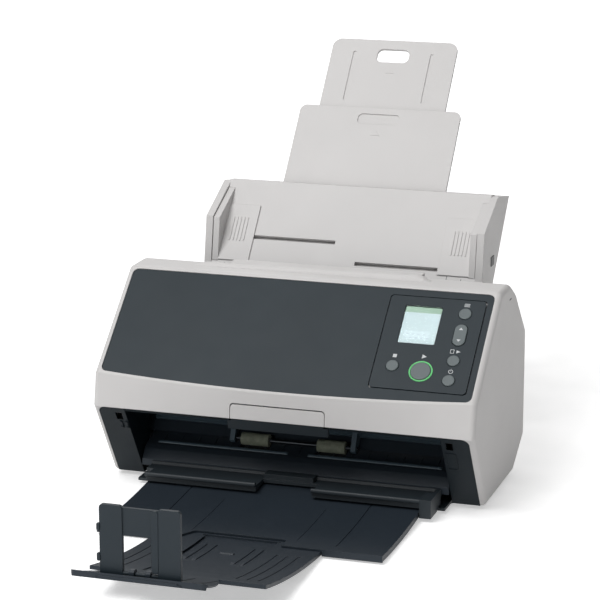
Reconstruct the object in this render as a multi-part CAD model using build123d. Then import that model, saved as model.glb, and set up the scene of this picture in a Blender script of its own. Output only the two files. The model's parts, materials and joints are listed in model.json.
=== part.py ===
from build123d import *
import math
import os

# Desktop document scanner with a swing-up cover, a paper chute behind and a stacker in front.
# Drawn in millimetres: +X to the right, +Y to the rear, +Z up, Y = 0 at the front strip, Z = 0 on the table.

# Overall housing
half_width = 152.3
body_depth = 170.0
top_z = 161.5
strip_bottom_z = 67.8
strip_top_z = 89.8
slope_angle = 40.8
wall = 2.8
crease_v = (1.2, 7.0)
crease_round = 2.0
strip_inner_y = 5.6
side_gap = 0.3
edge_round = 4.5
foot_height = 2.5
floor_gap = 3.0
mouth_foot_y = 42.0
top_rear_y = body_depth - 57.0
shoulder = (body_depth - 37.0, 150.0)
rear_corner_z = 112.0
rear_foot_z = 24.0
rear_foot_y = body_depth - 36.0
lip_half = 79.0
lip_y = body_depth - 42.0
mouth_y = body_depth - 54.0
foot_round = 6.0

# Front panel and operator panel, measured up the slope from the strip's top edge
panel_half = half_width - 4.9
panel_corner_v = 8.7
panel_bow = 6.0
panel_top_v = 106.8
panel_thick = 2.4
panel_recess = 0.5
panel_round = 5.0
panel_joint = 0.25
slope_wall = 5.4
console_x = (panel_half - 80.4, panel_half - 5.4)
console_v = (15.0, 100.3)
console_thick = 2.0
console_proud = 0.2
console_joint = 0.7
console_round = 3.0
display_x = (console_x[0] + 13.1, console_x[0] + 42.2)
display_v = (57.2, 91.9)
display_thick = 1.2
board_n = -9.4
board_thick = 1.6
board_margin = 6.0
post_x = (console_x[0] + 7.7, console_x[0] + 49.0)
post_inset = 7.7
pad_thick = 1.2
dome_height = 0.8
dome_radius = 3.0
post_radius = 2.2

# Buttons: name, x, v, radius
round_buttons = [
    ("menu_button", console_x[1] - 14.4, 87.3, 4.9),
    ("feed_button", console_x[1] - 14.9, 44.0, 4.8),
    ("power_button", console_x[1] - 15.1, 26.0, 4.8),
    ("stop_button", console_x[0] + 14.4, 35.3, 4.8),
    ("scan_button", console_x[0] + 37.1, 32.3, 7.8),
]
rocker_x = console_x[1] - 14.6
rocker_v = 67.6
rocker_length = 19.5
rocker_width = 9.8
rocker_axis_n = -3.0
rocker_pin = 1.2
rocker_pin_half = 6.3
button_proud = 1.0
button_gap = 0.3
button_flange = 1.0
button_bottom_n = -6.4
ring_width = 1.1
ring_gap = 0.3
ring_proud = 0.6

# Hinge and latch
hinge_yz = (body_depth - 30.0, 126.0)
hinge_radius = 4.0
hinge_boss = 8.0
hinge_running = 0.05
latch_yz = (7.5, 81.0)
latch_radius = 2.0
latch_running = 0.05
tab_half = 37.5
tab_x = -1.7
tab_top_z = 79.0
tab_gap = 1.0
lever_bottom_z = 59.0
lever_thick = 3.0
lever_wing = 2.5
collar_radius = 3.6
collar_x = (14.0, 24.0)
hook_x = (half_width - 21.8, half_width - 18.8)
catch_yz = (31.0, 46.0)
catch_radius = 2.5
hook_gap = 0.6
hook_lift = 1.8
latch_ear_x = (60.0, 64.0)

# Mouth frame
cheek_x = half_width - 26.3
cheek_skin = 2.0
mouth_half = half_width - 4.4
mouth_round = 6.0
mouth_rim = 3.0

# Paper path: one straight plane, from the chute down to the exit rollers
chute_origin = (body_depth - 12.4, 145.5)
exit_yz = (59.9, 31.1)
path_gap = 3.2
guide_thick = 2.5
guide_half = half_width - 28.3
lip_yz = (44.0, 27.0)
shaft_radius = 3.0
shaft_running = 0.05
bush_radius = 5.0
press_gap = 0.02
roller_proud = 0.5
pick_s = 40.0
pick_radius = 11.0
feed_s = 70.0
feed_radius = 10.4
exit_radius = 6.24
exit_x = (20.0, 42.5)
exit_shift = -5.85
idler_radius = 5.0
idler_shaft_radius = 1.5
nip_gap = 0.35
brake_radius = 9.0
brake_shaft_radius = 2.5
brake_half = 22.0
roller_x = (20.5, 42.0)
window_gap = 1.2
ear_thick = 4.0

# Scan units
scan_s = (86.0, 106.0)
scan_half = half_width - 42.3
scan_depth = 17.0
glass_thick = 2.2
glass_margin = 3.0

# Base
frame_x = (half_width - 13.3, half_width - 8.8)
pan_thick = 2.2
pan_half = half_width - 5.8
pan_front_y = 24.0
rear_wall = 2.5
seat_s = -15.5
foot_radius = 7.5
foot_xy = [(half_width - 34.3, 56.0), (half_width - 34.3, body_depth - 48.0)]
sill_top_z = 17.5
sill_floor_z = 14.5
sill_bead_y = (1.0, 4.5)
sill_bead_z = 14.0
sill_face_y = 3.6
sill_gap = (-20.0, 25.0)
sill_gap_y = 22.0
sill_block_x = (-20.0, 20.0)
sill_block_y = 24.0
sill_block_z = 18.0
sill_back_y = 34.0
sill_left_x = 42.0 - half_width
lug_x = half_width - 32.8
lug_y = (1.0, 20.0, 31.0)
board_y = body_depth - 10.0
main_board_x = half_width - 47.3
main_board_z = (32.0, 100.0)
motor_yz = (body_depth - 52.0, 42.0)
motor_radius = 15.0
motor_length = 22.0
motor_shaft = 2.5
socket_depth = 8.7
socket_wall = 1.0
usb_size = (12.0, 11.0)
lan_size = (16.0, 13.5)
usb_xz = (62.0, 56.0)
lan_xz = (34.0, 57.0)
inlet_xz = (88.0, 55.0)
inlet_radius = 4.6
inlet_bore = 3.0
screw_radius = 1.5
screw_head = 3.0
vent_count = 11
vent_pitch = 6.0
vent_size = (2.6, 24.0)
vent_start_x = -96.0
vent_z = 70.0

# Belt drive outside the left frame
pulley_x = (4.5 - half_width, 8.1 - half_width)
belt_x = (4.9 - half_width, 7.7 - half_width)
belt_thick = 1.2
belt_gap = 0.2
pulley_pick = 6.5
pulley_feed = 7.5
pulley_exit = 4.5
pulley_motor = 5.0

# Chute and its sliding pieces, in the chute's own frame: s up the chute, n out of it
chute_wall_x = (half_width - 40.8, half_width - 34.9)
chute_plate = 3.0
chute_depth = 35.0
chute_back_thick = 2.5
chute_top_s = 84.0
fin_outline = [(5.0, 0.0), (37.6, 19.8), (83.4, -1.0), (103.4, -35.0)]
guide_fin_x = (chute_wall_x[0] - 5.5, chute_wall_x[0] - 0.5)
guide_travel = 70.0
guide_foot = 26.0
guide_lift = 0.3
rack_module = 1.0
pinion_teeth = 12
pinion_s = 22.0
rack_n = (-7.5, -4.5)
rack_width = 4.0
rack_teeth_count = int(guide_fin_x[1] / (math.pi * rack_module))
tooth_backlash = 0.45
slot_width = 3.4
chute_extension_half = 70.0
chute_extension_s = (62.0, 167.0)
chute_extension_n = (-14.5, -12.0)
chute_tip_half = 55.0
chute_tip_s = (135.0, 236.0)
chute_tip_thick = 2.4
slide_gap = 0.3
rail_wall = 2.5

# Stacker: every plate is curved about one axis high above the table
arc_radius = 700.0
arc_low_y = -55.0
arc_low_z = 5.4
stacker_half = half_width - 42.3
stacker_skin = 1.4
stacker_side = 4.5
stacker_rim = 2.0
stacker_front_s = -42.5
stacker_front_depth = 5.0
stacker_notch_y = -83.0
stacker_notch_x = (-37.0, 34.0)
stacker_notch_flare = 7.0
stacker_wing_half = 64.5
stacker_groove_x = 72.4
stacker_back_s = 100.0
plate_gap = 0.2
extension_half = 64.0
extension_s = (-168.0, -24.0)
extension_thick = 2.8
extension_floor = 1.0
channel_half = 30.0
keeper_reach = 2.0
keeper_thick = 0.5
tip_s = (-244.0, -140.0)
tip_half = 48.0
tip_thick = 1.3
tip_round = 4.0
tip_waist = 31.0
tip_lip = 2.0
rail_x = (stacker_half + 0.4, stacker_half + 6.0)
rail_rise = 2.0
rail_floor = 1.2
rail_lip = 3.5
rail_s = (76.0, 196.0)
stopper_half = 28.3
stopper_post = 16.0
stopper_height = 47.7
stopper_foot = 1.2
stopper_thick = 3.0
stopper_web = 2.0
stopper_web_z = (27.2, 46.5)
stopper_s = -237.5
stopper_lift = 2.1
stopper_pin = 1.4
ear_x = (4.0, 7.5)
stopper_running = 0.05

# Ranges of motion that the clearances above are made for, in degrees and millimetres
cover_angle = 45.0
latch_angle = 6.0
rocker_angle = 3.0
button_travel = 0.8
chute_extension_travel = 72.0
chute_tip_travel = 66.0
stacker_travel = 90.0
extension_travel = 75.0
tip_travel = 40.0
stopper_fold = 105.0

rad = math.radians
slope_dir = (math.cos(rad(slope_angle)), math.sin(rad(slope_angle)))
slope_plane = Plane(origin=(0, 0, strip_top_z), x_dir=(1, 0, 0), z_dir=(0, -slope_dir[1], slope_dir[0]))
chute_angle = math.degrees(math.atan2(chute_origin[1] - exit_yz[1], chute_origin[0] - exit_yz[0]))
exit_s = math.hypot(chute_origin[0] - exit_yz[0], chute_origin[1] - exit_yz[1])
path_end_s = exit_s - 2.5
mouth_drop = strip_bottom_z - floor_gap
mouth_length = math.hypot(mouth_foot_y, mouth_drop)
mouth_out = (-mouth_drop / mouth_length, -mouth_foot_y / mouth_length)
mouth_plane = Plane(origin=(0, 0, strip_bottom_z), x_dir=(1, 0, 0), z_dir=(0, *mouth_out))
chute_dir = (math.cos(rad(chute_angle)), math.sin(rad(chute_angle)))
chute_frame = Plane(origin=(0, *chute_origin), x_dir=(1, 0, 0), z_dir=(0, -chute_dir[1], chute_dir[0]))
arc_centre = (arc_low_y, arc_low_z + arc_radius)
inner_half = half_width - wall
base_half = inner_half - side_gap
slope_end_y = (top_z - strip_top_z) / math.tan(rad(slope_angle))
pan_z = (foot_height, foot_height + pan_thick)


def block(x, y, z):
    """Box between the given pairs of coordinates."""
    size = [b - a for a, b in (x, y, z)]
    middle = [(a + b) / 2 for a, b in (x, y, z)]
    return Pos(*middle) * Box(*size)


def both(solid):
    """The solid and its mirror image across the middle plane."""
    return solid + mirror(solid, Plane.YZ)


def soft_prism(points, x0, x1):
    """Solid with a side outline of (y, z, corner radius) points, between x0 and x1."""
    face = make_face(Polyline(*[(x0, y, z) for y, z, radius in points], close=True))
    for y, z, radius in points:
        if radius:
            face = fillet(face.vertices().sort_by_distance((x0, y, z))[0], radius)
    return extrude(face, amount=x1 - x0, dir=(1, 0, 0))


def prism(points, x0, x1):
    """Solid with a side outline of (y, z) points, between x0 and x1."""
    outline = Polyline(*[(x0, y, z) for y, z in points], close=True)
    return extrude(make_face(outline), amount=x1 - x0, dir=(1, 0, 0))


def rod(yz, radius, x0, x1):
    """Cylinder along X."""
    turned = Rot(0, 90, 0) * Cylinder(radius, x1 - x0)
    return Pos((x0 + x1) / 2, *yz) * turned


def tube(yz, radius, bore, x0, x1):
    """Hollow cylinder along X."""
    return rod(yz, radius, x0, x1) - rod(yz, bore, x0 - 1, x1 + 1)


def on_slope(solid):
    """Places a solid drawn in the slope's frame."""
    return slope_plane * solid


def on_chute(solid):
    """Places a solid drawn in the chute's frame."""
    return chute_frame * solid


def chute_point(s, n):
    """(y, z) of a place s up the chute and n out of it."""
    y = chute_origin[0] + s * chute_dir[0] - n * chute_dir[1]
    z = chute_origin[1] + s * chute_dir[1] + n * chute_dir[0]
    return (y, z)


def chute_prism(points, x0, x1):
    """Solid with a side outline of (s, n) points of the chute's frame."""
    return prism([chute_point(s, n) for s, n in points], x0, x1)


def arc_point(s, below):
    """(y, z) at s along the stacker arc and so far below its surface; s is negative before its low point."""
    angle = s / arc_radius
    radius = arc_radius + below
    return (arc_centre[0] + radius * math.sin(angle), arc_centre[1] - radius * math.cos(angle))


def band(x, s, below):
    """Curved plate between two x, two places along the arc and two depths below its surface."""
    places = (s[0], (s[0] + s[1]) / 2, s[1])
    upper, lower = [[(x[0], *arc_point(place, depth)) for place in places] for depth in below]
    outline = [
        ThreePointArc(*upper),
        Line(upper[2], lower[2]),
        ThreePointArc(lower[2], lower[1], lower[0]),
        Line(lower[0], upper[0]),
    ]
    return extrude(make_face(outline), amount=x[1] - x[0], dir=(1, 0, 0))


def column(sketch):
    """Upright cutter over a plan outline."""
    return extrude(Pos(0, 0, -20) * sketch, amount=160)


def add(parts, name, shape, slot, body):
    """Files a finished piece under its name."""
    parts[name] = {"shape": shape, "slot": slot, "body": body}


def housing_outline():
    """Side outline of the housing with its corner radii."""
    return [
        (mouth_foot_y, floor_gap, foot_round),
        (0, strip_bottom_z, 0),
        (0, strip_top_z, 0),
        (slope_end_y, top_z, 4.0),
        (top_rear_y, top_z, 20.0),
        (*shoulder, 20.0),
        (body_depth, rear_corner_z, 9.0),
        (body_depth, rear_foot_z, 6.0),
        (rear_foot_y, floor_gap, foot_round),
    ]


def crease_place(v):
    """(y, z) of the edge between strip and slope, v up the slope."""
    return (v * slope_dir[0], strip_top_z + v * slope_dir[1])


def strip_cutter():
    """Space in front of the strip, whose face leans back a little, and more so towards both ends."""
    sections = []
    middle, end = crease_v
    for x, v in ((-half_width - 1, end), (0, middle), (half_width + 1, end)):
        y, z = crease_place(v)
        low, high = [(y * share, strip_bottom_z + (z - strip_bottom_z) * share) for share in (-0.3, 1.2)]
        outline = Polyline((x, *low), (x, *high), (x, -4.0, high[1]), (x, -4.0, low[1]), close=True)
        sections.append(make_face(outline))
    return loft(sections)


def mouth_sketch(half, top):
    """Plan of the mouth in its own leaning plane: straight sides and round top corners."""
    length = 2 * mouth_length
    return Pos(0, top - length / 2) * RectangleRounded(2 * half, length, mouth_round)


def panel_sketch(grow=0.0):
    """Plan of the dark front panel on the slope; its lower edge bows down in the middle."""
    half = panel_half + grow
    low = panel_corner_v - grow
    top = panel_top_v + grow
    outline = [
        ThreePointArc((-half, low), (0, low - panel_bow), (half, low)),
        Line((half, low), (half, top)),
        Line((half, top), (-half, top)),
        Line((-half, top), (-half, low)),
    ]
    face = make_face(outline)
    return fillet(face.vertices(), panel_round)


def plate_sketch(x, v, corner, grow=0.0):
    """Rounded rectangle between two x and two v."""
    width = x[1] - x[0] + 2 * grow
    height = v[1] - v[0] + 2 * grow
    return Pos((x[0] + x[1]) / 2, (v[0] + v[1]) / 2) * RectangleRounded(width, height, corner)


def slab(sketch, n0, n1):
    """Plate over a sketch, from level n0 to level n1."""
    return Pos(0, 0, n0) * extrude(sketch, amount=n1 - n0)


def pill(length, width, n0, n1):
    """Upright plate with round ends, long way along v."""
    return slab(Rot(0, 0, 90) * SlotOverall(length, width), n0, n1)


def cover_shell():
    """Grey hood: front strip, slope, top and side walls in one moulding, open below and behind."""
    outer = soft_prism(housing_outline(), -half_width, half_width) - strip_cutter()
    crease = outer.edges().sort_by_distance((0, *crease_place(crease_v[0])))[0]
    outer = fillet(crease, crease_round)
    ends = outer.faces().sort_by(Axis.X)
    outer = fillet(ends[0].edges() + ends[-1].edges(), edge_round)
    slope_drop = slope_wall / slope_dir[0]
    inner_top = top_z - wall
    inner = [
        (wall, 0.0),
        (wall, strip_bottom_z + 2.0),
        (strip_inner_y, strip_top_z + strip_inner_y * math.tan(rad(slope_angle)) - slope_drop),
        ((inner_top - strip_top_z + slope_drop) / math.tan(rad(slope_angle)), inner_top),
        (top_rear_y - 1.0, inner_top),
        (shoulder[0] - 1.5, shoulder[1] - wall),
        (hinge_yz[0] - 2.0, shoulder[1] - wall - 6.0),
        (hinge_yz[0] - 2.0, top_z + 5.0),
        (body_depth + 5.0, top_z + 5.0),
        (body_depth + 5.0, 0.0),
    ]
    shell = outer - prism(inner, -inner_half, inner_half)
    shell -= block((-inner_half, inner_half), (-1.0, wall + 1.0), (0.0, strip_bottom_z))
    rim = Pos(0, -mouth_length / 2) * Rectangle(2 * inner_half + 0.4, mouth_length)
    rim -= mouth_sketch(mouth_half, 0)
    shell += (mouth_plane * slab(rim, -mouth_rim, 1.0)) & outer
    chute_half = chute_wall_x[1] + 2.0
    shell -= block((-chute_half, chute_half), (mouth_y, body_depth + 30.0), (100.0, top_z + 40.0))
    shell += block((-lip_half, lip_half), (mouth_y - 1.0, lip_y), (inner_top, top_z))
    shell -= on_slope(slab(panel_sketch(panel_joint), -panel_thick - panel_recess, 5))
    window = plate_sketch(console_x, console_v, console_round, -board_margin / 2)
    shell -= on_slope(slab(window, -12, 1))
    notch_top = tab_top_z + tab_gap
    notch_low = strip_bottom_z - 20.0
    notch = RectangleRounded(2 * (tab_half + 0.5), notch_top - notch_low, 3.0)
    shell -= extrude(Plane.XZ * (Pos(tab_x, (notch_top + notch_low) / 2) * notch), amount=-wall - 3.0)
    boss_x = (frame_x[1] + 0.6, inner_half + 0.5)
    bosses = both(rod(hinge_yz, hinge_boss, *boss_x))
    bores = both(rod(hinge_yz, hinge_radius + hinge_running, boss_x[0] - 1, half_width - 1.2))
    shell = shell + bosses - bores
    shell += both(latch_bearing())
    shell -= both(rod(latch_yz, collar_radius + 0.6, collar_x[0] - 0.6, collar_x[1] + 0.6))
    shell -= both(rod(latch_yz, latch_radius + latch_running, 0, latch_ear_x[1] + 1.0))
    return shell


def latch_bearing():
    """Ear that hangs from the slope and carries the latch shaft."""
    y, z = latch_yz
    ceiling = strip_top_z + (y - 5.0) * math.tan(rad(slope_angle)) - slope_wall / slope_dir[0] + 1.5
    outline = [(wall - 0.5, z - 4.5), (y + 4.5, z - 4.5), (y + 4.5, ceiling + 5.0), (wall - 0.5, ceiling)]
    return prism(outline, *latch_ear_x)


def front_panel():
    """Dark panel let into the slope, with a cut-out for the operator panel."""
    top = -panel_recess
    plate = slab(panel_sketch(), top - panel_thick, top)
    hole = slab(plate_sketch(console_x, console_v, console_round, console_joint), -10, 5)
    return on_slope(plate - hole)


def console_holes():
    """Cutters through the operator panel for the display and every button."""
    holes = slab(plate_sketch(display_x, display_v, 1.0, 0.1), -20, 5)
    for name, x, v, radius in round_buttons:
        if name == "scan_button":
            radius += ring_gap + ring_width
            holes += Pos(x, v, 0) * Cylinder(radius + 0.05, 40)
        else:
            holes += Pos(x, v, 0) * Cylinder(radius + button_gap, 40)
    holes += Pos(rocker_x, rocker_v, 0) * pill(rocker_length + 1.0, rocker_width + 0.8, -20, 20)
    return holes


def post_places():
    """Centres of the four posts that hold the panel board."""
    return [(x, v) for x in post_x for v in (console_v[0] + post_inset, console_v[1] - post_inset)]


def operator_panel():
    """Console plate with its posts."""
    top = console_proud - panel_recess
    plate = slab(plate_sketch(console_x, console_v, console_round), top - console_thick, top)
    flange = plate_sketch(console_x, console_v, console_round, -board_margin / 2 - 0.4)
    plate += slab(flange, top - console_thick - 1.0, top - console_thick)
    plate -= console_holes()
    plate -= rocker_pivot(rocker_pin + 0.05, rocker_pin_half + 0.2)
    for x, v in post_places():
        plate += Pos(x, v, 0) * slab(Circle(post_radius), board_n, top - console_thick)
    return on_slope(plate)


def display_window():
    """Clear window flush with the console."""
    top = console_proud - panel_recess
    return on_slope(slab(plate_sketch(display_x, display_v, 1.0), top - display_thick, top))


def display_module():
    """Display body standing on the board right behind the window."""
    top = console_proud - panel_recess - display_thick
    return on_slope(slab(plate_sketch(display_x, display_v, 1.0, -0.4), board_n, top - 0.05))


def board_sketch():
    """Plan of the panel board."""
    return plate_sketch(console_x, console_v, 2.0, -board_margin)


def panel_board():
    """Circuit board behind the console."""
    return on_slope(slab(board_sketch(), board_n - board_thick, board_n))


def button_pad():
    """Rubber pad on the board with one dome under each key."""
    top = board_n + pad_thick
    sheet = slab(plate_sketch((console_x[1] - 21.0, console_x[1] - 7.0), (19.0, 93.0), 2.0), board_n, top)
    sheet += slab(plate_sketch((console_x[0] + 8.5, console_x[0] + 50.0), (26.0, 45.0), 2.0), board_n, top)
    domes = [(x, v) for name, x, v, radius in round_buttons]
    domes += [(rocker_x, rocker_v + side * rocker_length / 4) for side in (-1, 1)]
    for x, v in domes:
        sheet += Pos(x, v, board_n + pad_thick + dome_height / 2) * Cylinder(dome_radius, dome_height)
    for x, v in post_places():
        sheet -= Pos(x, v, board_n) * Cylinder(post_radius + 0.4, 10)
    return on_slope(sheet)


def round_button(x, v, radius):
    """Push button with a flange under the console and a softly rounded cap."""
    top = console_proud - panel_recess + button_proud
    cap = slab(Circle(radius), button_bottom_n, top)
    cap = fillet(cap.edges().group_by(Axis.Z)[-1], 0.6)
    cap += slab(Circle(radius + 0.9), button_bottom_n, button_bottom_n + button_flange)
    return on_slope(Pos(x, v, 0) * cap)


def select_rocker():
    """Long key that rocks about its middle."""
    top = console_proud - panel_recess + button_proud
    key = pill(rocker_length, rocker_width, button_bottom_n + 0.4, top)
    key = fillet(key.edges().group_by(Axis.Z)[-1], 0.6)
    return on_slope(Pos(rocker_x, rocker_v, 0) * key + rocker_pivot(rocker_pin, rocker_pin_half))


def rocker_pivot(radius, half):
    """Pin across the rocker, in the slope's frame."""
    return Pos(rocker_x, rocker_v, rocker_axis_n) * Rot(0, 90, 0) * Cylinder(radius, 2 * half)


def scan_button_ring():
    """Light guide round the scan button."""
    name, x, v, radius = round_buttons[-1]
    inner = radius + ring_gap
    outer = inner + ring_width
    under = console_proud - panel_recess - console_thick - 1.0
    ring = slab(Circle(outer) - Circle(inner), under - 0.9, console_proud - panel_recess + ring_proud - 0.2)
    ring += slab(Circle(outer + 0.9) - Circle(inner), under - 0.9, under)
    return on_slope(Pos(x, v, 0) * ring)


def mouth_frame():
    """Dark surround of the paper exit: a cheek each side and a band under the strip."""
    low = floor_gap + 0.5
    top = strip_bottom_z - 0.3
    face = mouth_sketch(mouth_half - 0.1, -0.3) - Rectangle(2 * cheek_x, 4 * mouth_length)
    space = block((-half_width, half_width), (0, body_depth), (low, top))
    frame = (mouth_plane * slab(face, -cheek_skin, 0)) & space
    web = [
        (0.8, top),
        (mouth_foot_y, low + 0.2),
        (54.0, low + 0.2),
        (56.0, 40.0),
        (48.0, top),
    ]
    frame += both(prism(web, cheek_x, cheek_x + cheek_skin))
    band_half = mouth_half - mouth_round
    frame += block((-band_half, band_half), (1.6, 30.0), (top - cheek_skin, top))
    hook_room = (hook_x[0] - 1.2, hook_x[1] + 1.2)
    frame -= both(block(hook_room, (3.0, 40.0), (top - 11.0, top + 1.0)))
    lever_half = tab_half + lever_wing + 1.5
    lever_room = (tab_x - lever_half, tab_x + lever_half)
    frame -= block(lever_room, (-1.0, lever_thick + 7.5), (top - 16.0, top + 1.0))
    return frame


def upper_guide():
    """Upper half of the paper path, hung from the hood by two webs, with ears for brake roller and idlers."""
    level = (path_gap, path_gap + guide_thick)
    upper_s = -30.0
    inner_top_z = top_z - wall
    end_s = 11.0 - exit_s
    outline = [(upper_s, level[0]), (upper_s, level[1]), (end_s, level[1]), (end_s, level[0])]
    plate = chute_prism(outline, -guide_half, guide_half)
    throat = chute_point(upper_s, level[0])
    middle = (hinge_yz[0] - 3.0, hinge_yz[1] + 8.0)
    under_lip = (lip_y - 0.5, inner_top_z - 0.2)
    beside_lip = (mouth_y - 0.2, 153.2)
    for half, (top_y, flare_z) in ((lip_half - 2.0, under_lip), (chute_wall_x[1] + 0.5, beside_lip)):
        flare = [throat, middle, (top_y, flare_z), (top_y - 2.6, flare_z),
                 (middle[0] - 2.6, middle[1] - 0.8), chute_point(upper_s - 2.0, level[1])]
        plate += prism(flare, -half, half)
    ceiling_n = slope_wall + 0.2
    web = [
        chute_point(upper_s - 2.0, level[1] - 0.5),
        chute_point(end_s + 3.0, level[1] - 0.5),
        (31.0, 62.0),
        (31.0, strip_top_z + 31.0 * math.tan(rad(slope_angle)) - ceiling_n / slope_dir[0]),
        (slope_end_y - 5.0, top_z - 5.0 * math.tan(rad(slope_angle)) - ceiling_n / slope_dir[0]),
        (slope_end_y + 6.0, inner_top_z - 0.2),
        (top_rear_y - 2.0, inner_top_z - 0.2),
        (mouth_y - 2.0, 153.8),
    ]
    plate += both(prism(web, guide_half - 2.0, guide_half))
    room = slab(plate_sketch(console_x, console_v, 2.0, 3.0), board_n - board_thick - 1.5, 5)
    plate -= on_slope(room)
    window = [(-scan_s[0], -5), (-scan_s[0], 20), (-scan_s[1], 20), (-scan_s[1], -5)]
    plate -= chute_prism(window, -scan_half - 1, scan_half + 1)
    brake = brake_place()
    slot_s = (-feed_s - brake_radius - window_gap, -feed_s + brake_radius + window_gap)
    slot = [(slot_s[0], -5), (slot_s[0], 10), (slot_s[1], 10), (slot_s[1], -5)]
    plate -= chute_prism(slot, -brake_half - window_gap, brake_half + window_gap)
    ear_s = (-feed_s - 7.0, -feed_s + 7.0)
    ear = [(ear_s[0], level[1] - 0.5), (ear_s[1], level[1] - 0.5), (ear_s[1], 16.0), (ear_s[0], 16.0)]
    plate += both(chute_prism(ear, brake_half + 3.0, brake_half + 3.0 + ear_thick))
    plate -= rod(brake, brake_shaft_radius + shaft_running, -60, 60)
    arm = [
        (18.0 - exit_s, level[1] - 0.5),
        (11.5 - exit_s, level[0]),
        (-1.5 - exit_s, level[0]),
        (-4.0 - exit_s, level[0] + 2.5),
        (-4.0 - exit_s, 9.5),
        (18.0 - exit_s, 16.0),
    ]
    arm_x = (exit_x[1] + 5.0, exit_x[1] + 5.0 + ear_thick)
    plate += Pos(exit_shift, 0, 0) * both(chute_prism(arm, *arm_x))
    plate -= rod(idler_place(), idler_shaft_radius + shaft_running, -60, 60)
    return plate


def brake_place():
    """Axis of the brake roller over the feed roller."""
    return chute_point(-feed_s, roller_proud + nip_gap + brake_radius)


def idler_place():
    """Axis of the exit idlers over the exit rollers."""
    return chute_point(-exit_s, roller_proud + nip_gap + idler_radius)


def below_place(s, radius):
    """Axis of a lower roller that stands a little proud of the path."""
    return chute_point(-s, roller_proud - radius)


def scan_unit(side):
    """Housing of a line sensor; side is +1 above the path and -1 below it."""
    near = path_gap if side > 0 else 0.0
    levels = (near + side * glass_thick, near + side * (glass_thick + scan_depth))
    low, high = min(levels), max(levels)
    box = [(-scan_s[0], low), (-scan_s[0], high), (-scan_s[1], high), (-scan_s[1], low)]
    unit = chute_prism(box, -scan_half, scan_half)
    edges = unit.edges().filter_by(Axis.X)
    return fillet(edges, 1.5)


def scan_glass(side):
    """Glass plate on the path side of a scan unit."""
    near = path_gap if side > 0 else 0.0
    levels = (near, near + side * glass_thick)
    low, high = min(levels), max(levels)
    s = (-scan_s[0] - glass_margin, -scan_s[1] + glass_margin)
    half = scan_half - glass_margin
    return chute_prism([(s[0], low), (s[0], high), (s[1], high), (s[1], low)], -half, half)


def release_tab():
    """Grey tab flush with the strip."""
    height = tab_top_z - strip_bottom_z
    sketch = Pos(tab_x, strip_bottom_z + height / 2) * RectangleRounded(2 * tab_half, height, 2.5)
    sketch += Pos(tab_x, strip_bottom_z + 2.0) * Rectangle(2 * tab_half, 4.0)
    return extrude(Plane.XZ * sketch, amount=-2.2) - strip_cutter()


def release_lever():
    """Dark finger lever behind and below the tab, clamped on the latch shaft."""
    y, z = latch_yz
    plate = [
        (2.25, tab_top_z - 1.0),
        (2.25, strip_bottom_z - 0.4),
        (0.6, strip_bottom_z - 0.4),
        (2.6, lever_bottom_z),
        (2.6 + lever_thick, lever_bottom_z),
        (2.25 + lever_thick, strip_bottom_z - 2.0),
        (2.25 + lever_thick, tab_top_z - 1.0),
    ]
    lever = prism(plate, tab_x - tab_half + 0.8, tab_x + tab_half - 0.8)
    wing = [
        (0.9, strip_bottom_z - 1.8),
        (2.6, lever_bottom_z),
        (2.6 + lever_thick, lever_bottom_z),
        (2.25 + lever_thick, strip_bottom_z - 2.0),
    ]
    lever += prism(wing, tab_x - tab_half - lever_wing, tab_x + tab_half + lever_wing)
    neck = prism([(wall, z - 6.0), (y + 3.0, z - 2.5), (y, z), (wall + 0.6, z - 1.8)], *collar_x)
    lever += both(neck + rod(latch_yz, collar_radius, *collar_x))
    lever -= rod(latch_yz, latch_radius + press_gap, -60, 60)
    return lever


def latch_shaft():
    """Steel shaft across the hood with a hook at each end."""
    shaft = rod(latch_yz, latch_radius, -hook_x[1], hook_x[1])
    y, z = latch_yz
    cy, cz = catch_yz
    reach = catch_radius + hook_gap
    under = cz + catch_radius + hook_lift
    arm = [
        (y - 1.0, z + 3.5),
        (y + 3.5, z + 2.0),
        (cy - reach + 3.0, under + 2.5),
        (cy + 1.0, under + 2.5),
        (cy + 1.0, under),
        (cy - reach, under),
        (cy - reach, cz - 2.0),
        (cy - reach - 3.0, cz - 2.0),
        (y - 2.5, z - 3.0),
    ]
    return shaft + both(prism(arm, *hook_x))


def brake_roller():
    """Rubber brake roller with its stub shafts."""
    roller = rod(brake_place(), brake_radius, -brake_half, brake_half)
    reach = brake_half + 3.0 + ear_thick
    return roller + rod(brake_place(), brake_shaft_radius, -reach, reach)


def idler_shaft():
    """Shaft of the two exit idlers."""
    reach = exit_x[1] + 5.0 + ear_thick + 1.0
    return rod(idler_place(), idler_shaft_radius, exit_shift - reach, exit_shift + reach)


def idler_rollers():
    """Two pale idlers over the exit rollers."""
    pair_of_rollers = both(tube(idler_place(), idler_radius, idler_shaft_radius + press_gap, *exit_x))
    return Pos(exit_shift, 0, 0) * pair_of_rollers


def base_pan():
    """Floor of the base, narrower in front where the cheeks swing."""
    pan = block((-pan_half, pan_half), (70.0, rear_foot_y), pan_z)
    pan += block((1.5 - cheek_x, cheek_x - 1.5), (pan_front_y, 71.0), pan_z)
    room = (rail_x[0] - rail_lip - 0.3, rail_x[1] + 0.3)
    return pan - both(band(room, (60.0, 110.0), (-9.0, stacker_side + slide_gap + rail_floor + 0.1)))


def rubber_feet():
    """Four pads under the base."""
    feet = None
    for x, y in foot_xy:
        pad = Pos(x, y, foot_height / 2) * Cylinder(foot_radius, foot_height)
        pad = both(pad)
        feet = pad if feet is None else feet + pad
    return feet


def frame_holes():
    """Bushes' holes through the side frames."""
    cut = None
    for place in shaft_places():
        hole = rod(place, bush_radius + press_gap, -half_width, half_width)
        cut = hole if cut is None else cut + hole
    return cut


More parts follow.
